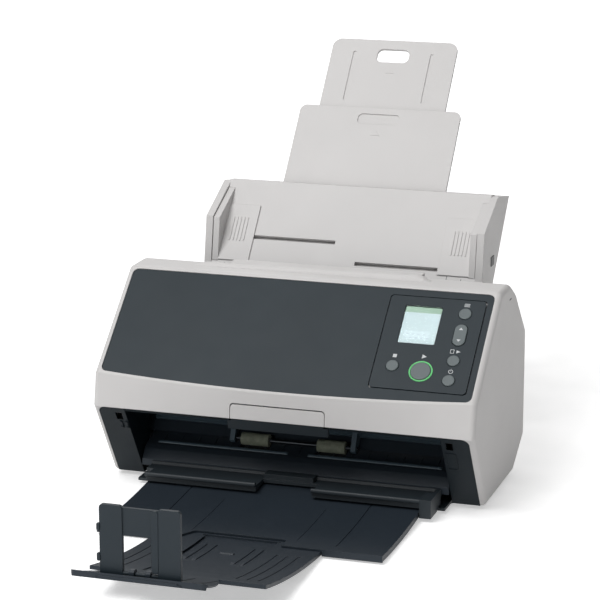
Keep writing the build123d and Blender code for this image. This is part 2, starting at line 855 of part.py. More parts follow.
def shaft_places():
    """Axes of the three driven shafts."""
    rollers = [(pick_s, pick_radius), (feed_s, feed_radius), (exit_s, exit_radius)]
    return [below_place(s, radius) for s, radius in rollers]


def side_frame(side):
    """Plate that carries the shafts and one hinge pin; side is +1 on the right."""
    outline = [
        (52.0, pan_z[1]),
        (27.0, 42.0),
        (27.0, 50.0),
        (52.0, 56.0),
        (112.0, 122.0),
        (hinge_yz[0] - 8.0, hinge_yz[1] + 8.0),
        (hinge_yz[0] + 6.0, hinge_yz[1] + 4.5),
        (body_depth - 6.0, rear_corner_z),
        (body_depth - 6.0, rear_foot_z + 4.0),
        (rear_foot_y - 2.0, pan_z[1]),
    ]
    frame = prism(outline, *frame_x)
    frame += rod(catch_yz, catch_radius, hook_x[0] - 0.5, frame_x[0] + 1)
    frame -= rod(hinge_yz, hinge_radius + press_gap, 0, half_width)
    frame -= frame_holes()
    if side < 0:
        frame -= rod(motor_yz, motor_shaft + 1.5, 0, half_width)
        frame = mirror(frame, Plane.YZ)
    return frame


def rear_cover():
    """Rear wall with the sloping top that carries the chute, vents and socket openings."""
    seat_front = chute_point(seat_s, 11.0)
    seat_back = chute_point(seat_s, (chute_origin[0] + seat_s * chute_dir[0] - body_depth) / chute_dir[1])
    heel_z = floor_gap + 3.2
    heel = [(rear_foot_y, floor_gap), (rear_foot_y, heel_z)]
    outer = [seat_front, seat_back, (body_depth, rear_foot_z)] + heel
    foot_in = (rear_foot_y + 1.0, heel_z)
    inner = [
        foot_in,
        (body_depth - rear_wall, rear_foot_z + 1.5),
        (body_depth - rear_wall, seat_back[1] - 1.0),
        chute_point(seat_s - rear_wall, 11.0),
    ]
    cover = prism(outer + inner, -base_half, base_half)
    open_half = chute_wall_x[1] + 1.6
    open_y = chute_point(seat_s, -chute_plate - 1.0)[0]
    cover -= block((-open_half, open_half), (mouth_y, open_y), (90.0, top_z + 40.0))
    through = (body_depth - 20.0, body_depth + 20.0)
    for index in range(vent_count):
        x = vent_start_x + index * vent_pitch
        cover -= block((x, x + vent_size[0]), through, (vent_z, vent_z + vent_size[1]))
    for (x, z), (width, height) in ((usb_xz, usb_size), (lan_xz, lan_size)):
        half_w = width / 2 + 0.3
        half_h = height / 2 + 0.3
        cover -= block((x - half_w, x + half_w), through, (z - half_h, z + half_h))
    cover -= Pos(inlet_xz[0], body_depth, inlet_xz[1]) * Rot(90, 0, 0) * Cylinder(inlet_radius + 0.3, 40)
    for x, z in board_screws():
        boss = Pos(x, (board_y + 1.6 + body_depth - 1.0) / 2, z) * Rot(90, 0, 0)
        cover += boss * Cylinder(4.0, body_depth - 1.0 - board_y - 1.6)
    for x, z in board_screws():
        cover -= Pos(x, board_y + 5.0, z) * Rot(90, 0, 0) * Cylinder(screw_radius + press_gap, 10.0)
    return cover


def board_screws():
    """Places of the main board's screws."""
    x = main_board_x - 6.0
    heights = (main_board_z[0] + 6.0, main_board_z[1] - 6.0)
    return [(side * x, z) for side in (-1, 1) for z in heights]


def lower_guide():
    """Lower half of the paper path with roller windows, the exit lip and the front wall under it."""
    plate = chute_prism(
        [(seat_s, 0), (seat_s, -guide_thick), (-path_end_s, -guide_thick), (-path_end_s, 0)],
        -frame_x[0], frame_x[0])
    end = chute_point(-path_end_s, 0)
    end_low = chute_point(-path_end_s, -guide_thick)
    wall_half = cheek_x - 1.2
    lip = [
        end,
        lip_yz,
        (lip_yz[0] - 4.0, lip_yz[1] - 2.5),
        (sill_back_y, sill_top_z),
        (sill_back_y, 12.2),
        (sill_back_y + 2.6, 12.4),
        (sill_back_y + 2.6, sill_top_z),
        (lip_yz[0] - 1.0, lip_yz[1] - 5.0),
        (lip_yz[0] + 1.0, lip_yz[1] - 2.6),
        end_low,
    ]
    plate += prism(lip, -wall_half, wall_half)
    window = [(-scan_s[0], -9), (-scan_s[0], 9), (-scan_s[1], 9), (-scan_s[1], -9)]
    plate -= chute_prism(window, -scan_half - 0.5, scan_half + 0.5)
    seat_low = seat_s - rear_wall - 0.4
    seat = [(seat_s + 1, 3), (seat_s + 1, -6), (seat_low, -6), (seat_low, 3)]
    plate -= both(chute_prism(seat, chute_wall_x[1] + 1.3, frame_x[0] + 1))
    rail_room = (rail_x[0] - rail_lip - 0.5, rail_x[1] + 0.3)
    plate -= both(band(rail_room, (60.0, 130.0), (-rail_rise - 0.2, 10.0)))
    rollers = [
        (pick_s, pick_radius, roller_x, 0.0),
        (feed_s, feed_radius, roller_x, 0.0),
        (exit_s, exit_radius, exit_x, exit_shift),
    ]
    for s, radius, x, shift in rollers:
        half = radius + window_gap
        cut = [(-s - half, -4), (-s + half, -4), (-s + half, 9), (-s - half, 9)]
        plate -= Pos(shift, 0, 0) * both(chute_prism(cut, x[0] - window_gap, x[1] + window_gap))
    return plate


def front_sill():
    """Trough over the stacker with a round bead, a finger gap in the middle and a lug at the right end."""
    front, back = sill_bead_y
    profile = [
        (sill_face_y, 2.0, 0),
        (sill_face_y, sill_bead_z, 0),
        (front, sill_bead_z, 1.2),
        (front, sill_top_z, 1.6),
        (back, sill_top_z, 1.6),
        (back, sill_floor_z, 0),
        (sill_back_y - 2.0, sill_floor_z, 0),
        (sill_back_y - 1.0, sill_top_z - 1.0, 0),
        (sill_back_y, sill_top_z - 1.0, 0),
        (sill_back_y, 2.0, 0),
    ]
    sill = soft_prism(profile, -rail_x[1], rail_x[1])
    sill -= block(sill_gap, (0.0, sill_gap_y), (0.0, sill_top_z + 5.0))
    sill += block(sill_block_x, (sill_block_y, sill_back_y), (sill_floor_z - 1.0, sill_block_z))
    sill -= band((-rail_x[1] - 1, rail_x[1] + 1), (30.0, 120.0), (-rail_rise, 30.0))
    sill -= block((-half_width, sill_left_x), (0.0, lug_y[1] + 1.0), (0.0, sill_top_z + 5.0))
    lug = block((rail_x[0], lug_x), lug_y[:2], (floor_gap, sill_top_z))
    lug += block((rail_x[1] + 0.2, lug_x), (lug_y[1] - 1.0, lug_y[2]), (pan_z[1] + 0.1, sill_top_z))
    return sill + lug


def stacker_rails():
    """Curved channel on each side in which the stacker runs."""
    below = stacker_side + slide_gap
    lips_x = (rail_x[0] - rail_lip, rail_x[0] + 0.5)
    rail = band(rail_x, rail_s, (-rail_rise, below + rail_floor))
    rail += band(lips_x, (rail_s[0] + 3.0, rail_s[1]), (-rail_rise, -slide_gap))
    rail += band(lips_x, (rail_s[0] + 30.0, rail_s[1]), (below, below + rail_floor))
    return both(rail)


def lower_cross_member():
    """Brackets between pan and rails."""
    y, top = arc_point(rail_s[1] - 20.0, 0)
    bracket = block(rail_x, (y - 6.0, y + 6.0), (pan_z[1] - 0.5, top))
    under_rail = stacker_side + slide_gap + rail_floor
    bracket -= band((rail_x[0] - 1, rail_x[1] + 1), (rail_s[0], rail_s[1] + 20), (-30.0, under_rail))
    return both(bracket)


def main_board():
    """Main circuit board on the rear cover."""
    board = block((-main_board_x, main_board_x), (board_y, board_y + 1.6), main_board_z)
    for x, z in board_screws():
        board -= Pos(x, board_y, z) * Rot(90, 0, 0) * Cylinder(screw_radius + 0.2, 10)
    return board


def socket(place, size):
    """Rectangular socket with an open mouth to the rear."""
    x, z = place
    half_w, half_h = size[0] / 2, size[1] / 2
    rear = board_y + 1.6 + socket_depth
    shell = block((x - half_w, x + half_w), (board_y + 1.6, rear), (z - half_h, z + half_h))
    hollow = block(
        (x - half_w + socket_wall, x + half_w - socket_wall),
        (board_y + 3.4, rear + 1),
        (z - half_h + socket_wall, z + half_h - socket_wall))
    return shell - hollow


def data_sockets():
    """Square data socket and wider network socket."""
    return socket(usb_xz, usb_size) + socket(lan_xz, lan_size)


def power_inlet():
    """Round low-voltage inlet with its centre pin."""
    x, z = inlet_xz
    length = socket_depth
    turn = Pos(x, board_y + 1.6 + length / 2, z) * Rot(90, 0, 0)
    body = turn * (Cylinder(inlet_radius, length) - Pos(0, 0, -1.5) * Cylinder(inlet_bore, length))
    return body + turn * Cylinder(0.9, length - 1.0)


def feed_motor():
    """Motor on the inside of the left frame."""
    end = -frame_x[0]
    motor = rod(motor_yz, motor_radius, end + 2.0, end + motor_length)
    motor += rod(motor_yz, motor_radius + 2.0, end, end + 2.0)
    return motor - rod(motor_yz, motor_shaft + 0.3, end - 1, end + motor_length - 4)


def motor_pulley():
    """Motor shaft with its pulley."""
    shaft = rod(motor_yz, motor_shaft, pulley_x[0], -frame_x[0] + motor_length - 5.0)
    return shaft + rod(motor_yz, pulley_motor, *pulley_x)


def driven_shaft(place, pulley):
    """Shaft through both frames with its belt pulley outside the left one."""
    shaft = rod(place, shaft_radius, pulley_x[0], frame_x[1] + 0.8)
    return shaft + rod(place, pulley, *pulley_x)


def roller_pair(place, radius, x, shift=0.0):
    """Two rubber rollers on a shaft, x given for the right-hand one."""
    return Pos(shift, 0, 0) * both(tube(place, radius, shaft_radius + press_gap, *x))


def shaft_bushes():
    """Bushes of the three shafts in both frames."""
    bushes = None
    for place in shaft_places():
        bush = both(tube(place, bush_radius, shaft_radius + shaft_running, *frame_x))
        bushes = bush if bushes is None else bushes + bush
    return bushes


def belt_face(grow, x):
    """Outline of the belt loop round the four pulleys."""
    plane = Plane(origin=(x, 0, 0), x_dir=(0, 1, 0), z_dir=(1, 0, 0))
    places = shaft_places() + [motor_yz]
    radii = [pulley_pick, pulley_feed, pulley_exit, pulley_motor]
    circles = [Pos(*place) * Circle(radius + grow) for place, radius in zip(places, radii)]
    edges = [edge for circle in circles for edge in circle.edges()]
    return plane * make_hull(edges)


def drive_belt():
    """One flat belt round motor, pick, feed and exit pulleys."""
    length = belt_x[1] - belt_x[0]
    outer = extrude(belt_face(belt_gap + belt_thick, belt_x[0]), amount=length, dir=(1, 0, 0))
    inner = extrude(belt_face(belt_gap, belt_x[0] - 1), amount=length + 2, dir=(1, 0, 0))
    return outer - inner


def hinge_pins():
    """Steel pins of the cover hinge."""
    return both(rod(hinge_yz, hinge_radius, frame_x[0], half_width - 1.6))


def case_screws():
    """Screws of the main board."""
    screws = None
    for x, z in board_screws():
        head = Pos(x, board_y - 0.8, z) * Rot(90, 0, 0) * Cylinder(screw_head, 1.6)
        shank = Pos(x, board_y + 4.0, z) * Rot(90, 0, 0) * Cylinder(screw_radius, 8.0)
        screw = head + shank
        screws = screw if screws is None else screws + screw
    return screws


def chute_shell():
    """Chute box: face plate, fins at both sides and a seat on the rear cover."""
    outline = [(seat_s, 0.0)] + fin_outline + [(seat_s, -chute_depth)]
    shell = both(chute_prism(outline, *chute_wall_x))
    face_half = chute_wall_x[0] + 0.5
    face = [(seat_s, 0), (chute_top_s, 0), (chute_top_s, -chute_plate), (seat_s, -chute_plate)]
    shell += chute_prism(face, -face_half, face_half)
    cap = [(chute_top_s - 2.5, 0), (chute_top_s, 0), (chute_top_s + 5.5, -9.0), (chute_top_s + 3.0, -9.0)]
    shell += chute_prism(cap, -face_half, face_half)
    for side in (-1, 1):
        s = pinion_s - side * rack_pitch_offset()
        near, far = s - slot_width / 2, s + slot_width / 2
        x = sorted((side * (guide_fin_x[1] + 0.2), side * (guide_fin_x[0] - guide_foot - guide_travel)))
        shell -= chute_prism([(near, 2), (far, 2), (far, -5), (near, -5)], *x)
    half = chute_extension_half + slide_gap
    foot_s, head_s = 40.0, chute_top_s + 2.0
    face_n, back_n = 0.5 - chute_plate, -22.0
    rail = [(foot_s, face_n), (head_s, face_n), (head_s, back_n), (foot_s, back_n)]
    shell += both(chute_prism(rail, half, half + rail_wall))
    lip = [(foot_s, back_n + 2.0), (head_s, back_n + 2.0), (head_s, back_n), (foot_s, back_n)]
    shell += both(chute_prism(lip, half - 6.0, half + 0.5))
    shell += on_chute(Pos(0, pinion_s, (rack_n[0] - 1.0) / 2) * Cylinder(2.0, -rack_n[0] + 1.0))
    return shell


def chute_back():
    """Cover on the back of the chute box, with ribs across it."""
    depth = (-chute_depth, -chute_depth + chute_back_thick)
    s = (seat_s + 0.4, 102.0)
    inner = chute_wall_x[0] - 0.15
    back, front = depth
    plate = chute_prism([(s[0], back), (s[0], front), (s[1], front), (s[1] + 1.2, back)], -inner, inner)
    for index in range(5):
        low = 20.0 + index * 16.0
        high = low + 1.6
        plate += chute_prism([(low, back), (high, back), (high, back - 1.0), (low, back - 1.0)], -70.0, 70.0)
    return plate


def rack_pitch_offset():
    """Distance from the pinion's axis to the middle of a rack bar."""
    return rack_module * pinion_teeth / 2 + rack_module + rack_width / 2


def rack_bar():
    """Rack bar along X, drawn from x = 0 with its teeth towards -Y, in the pinion's own frame."""
    pitch = math.pi * rack_module
    pitch_radius = rack_module * pinion_teeth / 2
    root = pitch_radius + 1.1 * rack_module
    tip = pitch_radius - 0.75 * rack_module
    reach = (rack_teeth_count + 0.4) * pitch
    back = root + rack_width
    shape = make_face(Polyline((0, root), (0, back), (reach, back), (reach, root), close=True))
    foot_half = pitch / 4 + 0.36 * rack_module - tooth_backlash / 2
    tip_half = pitch / 4 - 0.27 * rack_module - tooth_backlash / 2
    for index in range(rack_teeth_count):
        middle = (index + 0.75) * pitch
        tooth = [
            (middle - foot_half, root + 0.05),
            (middle - tip_half, tip),
            (middle + tip_half, tip),
            (middle + foot_half, root + 0.05),
        ]
        shape += make_face(Polyline(*tooth, close=True))
    return extrude(shape, amount=rack_n[1] - rack_n[0])


def side_guide(side):
    """Paper side guide: foot on the chute, fin and rack bar; side is +1 on the right."""
    fin = [(7.0, guide_lift), (37.0, 18.6), (76.0, guide_lift)]
    x = sorted((side * guide_fin_x[0], side * guide_fin_x[1]))
    guide = chute_prism(fin, *x)
    foot_x = sorted((side * guide_fin_x[0], side * (guide_fin_x[0] - guide_foot)))
    foot = [(8.0, guide_lift), (8.0, guide_lift + 1.0), (60.0, guide_lift + 1.0), (60.0, guide_lift)]
    guide += chute_prism(foot, foot_x[0] - 0.2, foot_x[1] + 0.2)
    offset = -side * rack_pitch_offset()
    s = pinion_s + offset
    half = slot_width / 2 - slide_gap
    stem_x = sorted((side * (guide_fin_x[1] - 1.0), side * (guide_fin_x[0] - guide_foot + 2.0)))
    upper, lower = guide_lift + 0.5, rack_n[1] - 0.5
    stem = [(s - half, upper), (s + half, upper), (s + half, lower), (s - half, lower)]
    guide += chute_prism(stem, *stem_x)
    in_mesh = side * (rack_teeth_count - 0.75) * math.pi * rack_module
    turn = 180 if side > 0 else 0
    return guide + on_chute(Pos(in_mesh, pinion_s, rack_n[0]) * Rot(0, 0, turn) * rack_bar())


def guide_pinion():
    """Pinion between the two rack bars."""
    pitch_radius = rack_module * pinion_teeth / 2
    root = pitch_radius - 1.25 * rack_module
    tip = pitch_radius + 0.75 * rack_module
    wheel = Circle(root)
    base_half_tooth = math.pi * rack_module / 4 + 0.30 * rack_module - tooth_backlash / 2
    tip_half_tooth = math.pi * rack_module / 4 - 0.40 * rack_module - tooth_backlash / 2
    foot = root - 0.3
    tooth = [(foot, -base_half_tooth), (tip, -tip_half_tooth), (tip, tip_half_tooth), (foot, base_half_tooth)]
    for index in range(pinion_teeth):
        wheel += Rot(0, 0, 360 * index / pinion_teeth) * make_face(Polyline(*tooth, close=True))
    gear = extrude(wheel - Circle(2.0 + shaft_running), amount=rack_n[1] - rack_n[0])
    return on_chute(Pos(0, pinion_s, rack_n[0]) * gear)


def chute_extension():
    """Sliding plate that lengthens the chute, with side rails for the tip."""
    n = chute_extension_n
    half = chute_extension_half
    plate = slab(plate_sketch((-half, half), chute_extension_s, 6.0), *n)
    grip = plate_sketch((-18.0, 18.0), (chute_extension_s[1] - 16.0, chute_extension_s[1] - 6.0), 4.0)
    plate -= slab(grip, n[1] - 1.0, n[1] + 1)
    rail_s_range = (chute_extension_s[0] + 6.0, chute_extension_s[1] - 6.0)
    back = n[0] - chute_tip_thick - 2 * slide_gap
    inner = chute_tip_half + slide_gap
    rail = block((inner, inner + 2.5), rail_s_range, (back - 1.5, n[0] + 0.5))
    lip = block((inner - 5.0, inner + 0.5), rail_s_range, (back - 1.5, back))
    plate += both(rail + lip)
    return on_chute(plate)


def chute_tip():
    """Last plate of the chute, behind the extension."""
    n1 = chute_extension_n[0] - slide_gap
    n0 = n1 - chute_tip_thick
    half = chute_tip_half
    plate = slab(plate_sketch((-half, half), chute_tip_s, 8.0), n0, n1)
    grip = plate_sketch((-14.0, 14.0), (chute_tip_s[1] - 22.0, chute_tip_s[1] - 9.0), 5.0)
    plate -= slab(grip, n0 - 1, n1 + 1)
    for x in (-34.0, 34.0):
        groove = plate_sketch((x - 1.5, x + 1.5), (chute_tip_s[0] + 40.0, chute_tip_s[1] - 12.0), 1.4)
        plate -= slab(groove, n1 - 0.8, n1 + 1)
    return on_chute(plate)


def stacker():
    """Main output tray: thin curved skin with deep sides and a finger notch in front."""
    length = (stacker_front_s, stacker_back_s)
    tray = band((-stacker_half, stacker_half), length, (0, stacker_skin))
    tray += both(band((stacker_half - stacker_rim, stacker_half), length, (0, stacker_side)))
    wing = (stacker_wing_half, stacker_half)
    tray += both(band(wing, (stacker_front_s, stacker_front_s + stacker_rim), (0, stacker_front_depth)))
    rib = (stacker_wing_half, stacker_wing_half + 1.2)
    tray += both(band(rib, (stacker_front_s, stacker_back_s - 10.0), (0, stacker_side)))
    left, right = stacker_notch_x
    front = arc_point(stacker_front_s, 0)[0] - 1.0
    back = stacker_notch_y
    corners = [(left - stacker_notch_flare, front), (left, back), (right, back), (right, front)]
    notch = make_face(Polyline(*corners, close=True))
    tray -= column(fillet(notch.vertices().group_by(Axis.Y)[-1], 4.0))
    for side in (-1, 1):
        x = side * stacker_groove_x
        tray -= band((x - 0.8, x + 0.8), (stacker_front_s + 11.5, 75.0), (-1.0, 0.5))
    return tray


def stacker_extension():
    """First extension, with a channel for the second one."""
    upper = stacker_skin + plate_gap
    s = extension_s
    plate = band((-extension_half, extension_half), s, (upper, upper + extension_thick))
    channel = band((-channel_half - slide_gap, channel_half + slide_gap), (s[0] - 5.0, s[1] - 6.0),
                   (upper - 1.0, upper + extension_thick - extension_floor))
    plate -= channel
    keeper_x = (channel_half - keeper_reach, channel_half + slide_gap + 0.5)
    plate += both(band(keeper_x, (s[0] + 2.0, s[1] - 8.0), (upper, upper + keeper_thick)))
    for x in (-54.0, -46.0, 38.0, 46.0, 54.0):
        plate -= band((x - 0.8, x + 0.8), (s[0] + 14.0, -62.0), (upper - 1, upper + 0.4))
    middle_y = arc_point((s[0] + s[1]) / 2, 0)[0]
    plan = Pos(0, middle_y) * RectangleRounded(2 * extension_half, s[1] - s[0] + 2.0, 2.5)
    return plate & column(plan)


def stacker_tip():
    """Second extension: a stem in the channel and a wider plate that slides over the first extension."""
    top = stacker_skin + plate_gap
    stem_n = (top + keeper_thick + plate_gap, top + extension_thick - extension_floor - plate_gap)
    stem = band((-channel_half, channel_half), tip_s, stem_n)
    bridge_half = channel_half - keeper_reach - slide_gap
    head_s = (tip_s[0], extension_s[0] - 3.0)
    bridge = band((-bridge_half, bridge_half), head_s, (top - plate_gap - 0.2, stem_n[0] + 0.1))
    head = band((-tip_half, tip_half), head_s, (head_top(), head_top() + tip_thick))
    plan = column(tip_plan(*[arc_point(s, 0)[0] for s in head_s]))
    tip = stem + bridge + (head & plan)
    lip_n = (head_top() - 0.8, head_top() + tip_thick + tip_lip)
    tip += band((-tip_half, tip_half), (tip_s[0], tip_s[0] + 2.5), lip_n) & plan
    tip += both(prism(ear_outline(), *ear_x))
    tip -= rod(stopper_axis(), stopper_pin + stopper_running, -ear_x[1] - 1.0, ear_x[1] + 1.0)
    return tip


def tip_plan(front, rear):
    """Plan of the second extension's head: widest at its front lip, with curved sides."""
    side = front + tip_round + 2.0
    bulge = ((tip_half + tip_waist) / 2 + 3.0, (front + rear) / 2)
    right = ThreePointArc((tip_half, side), bulge, (tip_waist, rear))
    left = ThreePointArc((-tip_waist, rear), (-bulge[0], bulge[1]), (-tip_half, side))
    outline = [
        Line((-tip_half, front), (tip_half, front)),
        Line((tip_half, front), (tip_half, side)),
        right,
        Line((tip_waist, rear), (-tip_waist, rear)),
        left,
        Line((-tip_half, side), (-tip_half, front)),
    ]
    plan = make_face(outline)
    return fillet(plan.vertices().group_by(Axis.Y)[0], tip_round)


def head_top():
    """Depth of the second extension's top face below the stacker's surface."""
    return stacker_skin - tip_thick


def stopper_axis():
    """Axis of the stopper's hinge, just above the tip's plate."""
    return arc_point(stopper_s, head_top() - stopper_lift)


def ear_outline():
    """Side outline of an ear that carries the stopper's pin."""
    y, z = stopper_axis()
    return [
        (y - 3.0, z - 2.0),
        (y + 3.0, z - 4.2),
        (y + 3.0, z + 2.0),
        (y + 1.5, z + 3.2),
        (y - 1.5, z + 3.2),
        (y - 3.0, z + 2.0),
    ]


def stopper():
    """Upright paper stop: two posts with a web across their upper half."""
    y, z = stopper_axis()
    front = y - stopper_thick / 2
    back = front + stopper_thick
    base = z - stopper_foot
    post = block((stopper_half - stopper_post, stopper_half), (front, back), (base, base + stopper_height))
    plate = both(fillet(post.edges().filter_by(Axis.Y).group_by(Axis.Z)[-1], 2.5))
    web_half = stopper_half - stopper_post + 0.5
    web_z = (base + stopper_web_z[0], base + stopper_web_z[1])
    plate += block((-web_half, web_half), (back - stopper_web, back), web_z)
    plate += rod(stopper_axis(), stopper_pin, -web_half, web_half)
    return plate


def build():
    """Makes every piece in the drawing frame."""
    parts = {}
    add(parts, "cover_shell", cover_shell(), "grey_plastic", "cover")
    add(parts, "front_panel", front_panel(), "slate_plastic", "cover")
    add(parts, "operator_panel", operator_panel(), "slate_plastic", "cover")
    add(parts, "display_window", display_window(), "clear_window", "cover")
    add(parts, "display_module", display_module(), "display", "cover")
    add(parts, "panel_board", panel_board(), "circuit_board", "cover")
    add(parts, "button_pad", button_pad(), "rubber", "cover")
    add(parts, "scan_button_ring", scan_button_ring(), "green_ring", "cover")
    for name, x, v, radius in round_buttons:
        add(parts, name, round_button(x, v, radius), "button_grey", name)
    add(parts, "select_rocker", select_rocker(), "button_grey", "select_rocker")
    add(parts, "mouth_frame", mouth_frame(), "dark_plastic", "cover")
    add(parts, "upper_guide", upper_guide(), "dark_plastic", "cover")
    add(parts, "upper_scan_unit", scan_unit(1), "black_plastic", "cover")
    add(parts, "upper_scan_glass", scan_glass(1), "glass", "cover")
    add(parts, "release_tab", release_tab(), "grey_plastic", "latch")
    add(parts, "release_lever", release_lever(), "dark_plastic", "latch")
    add(parts, "latch_shaft", latch_shaft(), "steel", "latch")
    add(parts, "brake_roller", brake_roller(), "rubber", "brake_roller")
    add(parts, "idler_shaft", idler_shaft(), "steel", "exit_idlers")
    add(parts, "idler_rollers", idler_rollers(), "olive_rubber", "exit_idlers")
    add(parts, "base_pan", base_pan() + lower_cross_member(), "dark_plastic", "base")
    add(parts, "rubber_feet", rubber_feet(), "rubber", "base")
    add(parts, "side_frame_left", side_frame(-1), "steel", "base")
    add(parts, "side_frame_right", side_frame(1), "steel", "base")
    add(parts, "rear_cover", rear_cover(), "grey_plastic", "base")
    add(parts, "lower_guide", lower_guide(), "dark_plastic", "base")
    add(parts, "lower_scan_unit", scan_unit(-1), "black_plastic", "base")
    add(parts, "lower_scan_glass", scan_glass(-1), "glass", "base")
    add(parts, "front_sill", front_sill(), "dark_plastic", "base")
    add(parts, "main_board", main_board(), "circuit_board", "base")
    add(parts, "data_sockets", data_sockets(), "steel", "base")
    add(parts, "power_inlet", power_inlet(), "black_plastic", "base")
    add(parts, "feed_motor", feed_motor(), "steel", "base")
    add(parts, "hinge_pins", hinge_pins(), "steel", "base")
    add(parts, "shaft_bushes", shaft_bushes(), "black_plastic", "base")
    add(parts, "case_screws", case_screws(), "steel", "base")
    add(parts, "stacker_rails", stacker_rails(), "dark_plastic", "base")
    add(parts, "drive_belt", drive_belt(), "rubber", "base")
    add(parts, "chute_shell", chute_shell(), "grey_plastic", "base")
    add(parts, "chute_back", chute_back(), "grey_plastic", "base")
    add(parts, "motor_pulley", motor_pulley(), "steel", "motor_pulley")
    pick, feed, exit_place = shaft_places()
    add(parts, "pick_shaft", driven_shaft(pick, pulley_pick), "steel", "pick_shaft")
    add(parts, "pick_rollers", roller_pair(pick, pick_radius, roller_x), "rubber", "pick_shaft")
    add(parts, "feed_shaft", driven_shaft(feed, pulley_feed), "steel", "feed_shaft")
    add(parts, "feed_rollers", roller_pair(feed, feed_radius, roller_x), "rubber", "feed_shaft")
    add(parts, "exit_shaft", driven_shaft(exit_place, pulley_exit), "steel", "exit_shaft")
    exit_rollers = roller_pair(exit_place, exit_radius, exit_x, exit_shift)
    add(parts, "exit_rollers", exit_rollers, "rubber", "exit_shaft")
    add(parts, "guide_left", side_guide(-1), "grey_plastic", "guide_left")
    add(parts, "guide_right", side_guide(1), "grey_plastic", "guide_right")
    add(parts, "guide_pinion", guide_pinion(), "black_plastic", "guide_pinion")
    add(parts, "chute_extension", chute_extension(), "grey_plastic", "chute_extension")
    add(parts, "chute_tip", chute_tip(), "grey_plastic", "chute_tip")
    add(parts, "stacker", stacker(), "tray_plastic", "stacker")
    add(parts, "stacker_extension", stacker_extension(), "tray_plastic", "stacker_extension")
    add(parts, "stacker_tip", stacker_tip(), "tray_plastic", "stacker_tip")
    add(parts, "stopper", stopper(), "tray_plastic", "stopper")
    return parts


parts = build()
front_y = min(piece["shape"].bounding_box().min.Y for piece in parts.values())
back_y = max(piece["shape"].bounding_box().max.Y for piece in parts.values())
centre_y = (front_y + back_y) / 2

if __name__ == "__main__":
    os.makedirs("parts", exist_ok=True)
    for name, piece in parts.items():
        export_step(Pos(0, -centre_y, 0) * piece["shape"], f"parts/{name}.step")
    print("pieces", len(parts), "front", round(front_y, 1), "back", round(back_y, 1))
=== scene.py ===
import json
import math

import bmesh
import bpy
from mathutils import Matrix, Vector


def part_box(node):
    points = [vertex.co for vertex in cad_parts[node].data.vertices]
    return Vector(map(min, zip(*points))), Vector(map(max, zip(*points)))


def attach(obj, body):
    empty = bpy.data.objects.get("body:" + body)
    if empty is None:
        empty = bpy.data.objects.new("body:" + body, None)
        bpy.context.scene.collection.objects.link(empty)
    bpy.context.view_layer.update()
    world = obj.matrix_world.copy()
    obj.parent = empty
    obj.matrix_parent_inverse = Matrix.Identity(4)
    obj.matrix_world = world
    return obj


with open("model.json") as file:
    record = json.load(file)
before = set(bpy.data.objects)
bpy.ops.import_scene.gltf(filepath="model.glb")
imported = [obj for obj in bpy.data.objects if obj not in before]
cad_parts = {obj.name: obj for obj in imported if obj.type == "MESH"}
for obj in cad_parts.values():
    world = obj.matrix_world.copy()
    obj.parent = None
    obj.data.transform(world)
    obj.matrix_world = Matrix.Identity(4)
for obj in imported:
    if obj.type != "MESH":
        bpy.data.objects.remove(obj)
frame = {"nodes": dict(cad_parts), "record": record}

# Looks of a desktop document scanner. Places are in millimetres: +X to the right, +Y to the rear from
# the face of the front strip, +Z up from the table.

MM = 0.001
FRONT_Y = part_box("cover_shell")[0].y
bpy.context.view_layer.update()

# The slope of the hood and the operator panel let into it
SLOPE_ANGLE = math.radians(40.8)
SLOPE_FOOT_Z = 89.8
CONSOLE_TOP = -0.3
KEY_TOP = 0.7

# Keys: x, place up the slope, and the radius that their sign keeps clear of
KEYS = {
    "menu": (127.6, 87.3, 4.9),
    "feed": (127.1, 44.0, 4.8),
    "power": (126.9, 26.0, 4.8),
    "stop": (81.4, 35.3, 4.8),
    "scan": (104.1, 32.3, 9.4),
}

# Long key: x, place up the slope, length
ROCKER = (127.4, 67.6, 19.5)

# Signs: gap above a key, depth below the face and height above it
SIGN_GAP = 2.0
PRINT_SUNK = 0.03
PRINT_HEIGHT = 0.05

# The mouth under the strip, measured down its leaning front
MOUTH_TOP_Z = 67.8
MOUTH_FOOT_Y = 42.0
MOUTH_DROP = 64.8
MOUTH_LENGTH = math.hypot(MOUTH_FOOT_Y, MOUTH_DROP)

# The chute behind the hood
CHUTE_ANGLE = math.radians(49.5)
CHUTE_Y, CHUTE_Z = 157.6, 145.5
CHUTE_WALL = 117.4

# The exit lip inside the mouth, as (y, z) of its rear and front edges
EXIT_REAR = (61.5, 33.0)
EXIT_FRONT = (44.0, 27.0)

# The hood's side walls and top, with the raised lip along its rear edge
HOOD_HALF = 152.3
HOOD_TOP_Z = 161.5
LIP_X = (-98.0, 86.0)
LIP_Y = (98.0, 105.0)
LIP_RISE = (2.2, 4.0)
LIP_LEAST = 0.02

# The rear wall, the main board inside it and the base pan's underside
REAR_Y = 170.0
REAR_SUNK = 0.3
BOARD_Y = 160.0
BOARD_SUNK = 0.1
PAN_Z = 2.5
PAN_SUNK = 0.2

# The stacker's plates are curved about one far axis
ARC_RADIUS = 700.0
ARC_LOW_Y = -55.0
ARC_LOW_Z = 5.4

# The stopper at the stacker's front end
STOPPER_FRONT_Y = -290.0
STOPPER_HALF = 28.3
STOPPER_POST = 16.0
STOPPER_Z = (48.5, 94.9)

# Ribs on the stacker's plates
TRAY_RIB_HALF = 0.7
TRAY_RIB_HEIGHT = 0.35

# Noise of the materials, the values that a colour ramp lies between, and the mould grain's scale
NOISE_ROUGHNESS = 0.55
RAMP_ENDS = (0.35, 0.65)
GRAIN_SCALE = 1800.0

# Sockets of a mix node: its factor and its two colours, and the mixed colour
MIX_INPUTS = (0, 6, 7)
MIX_OUTPUT = 2

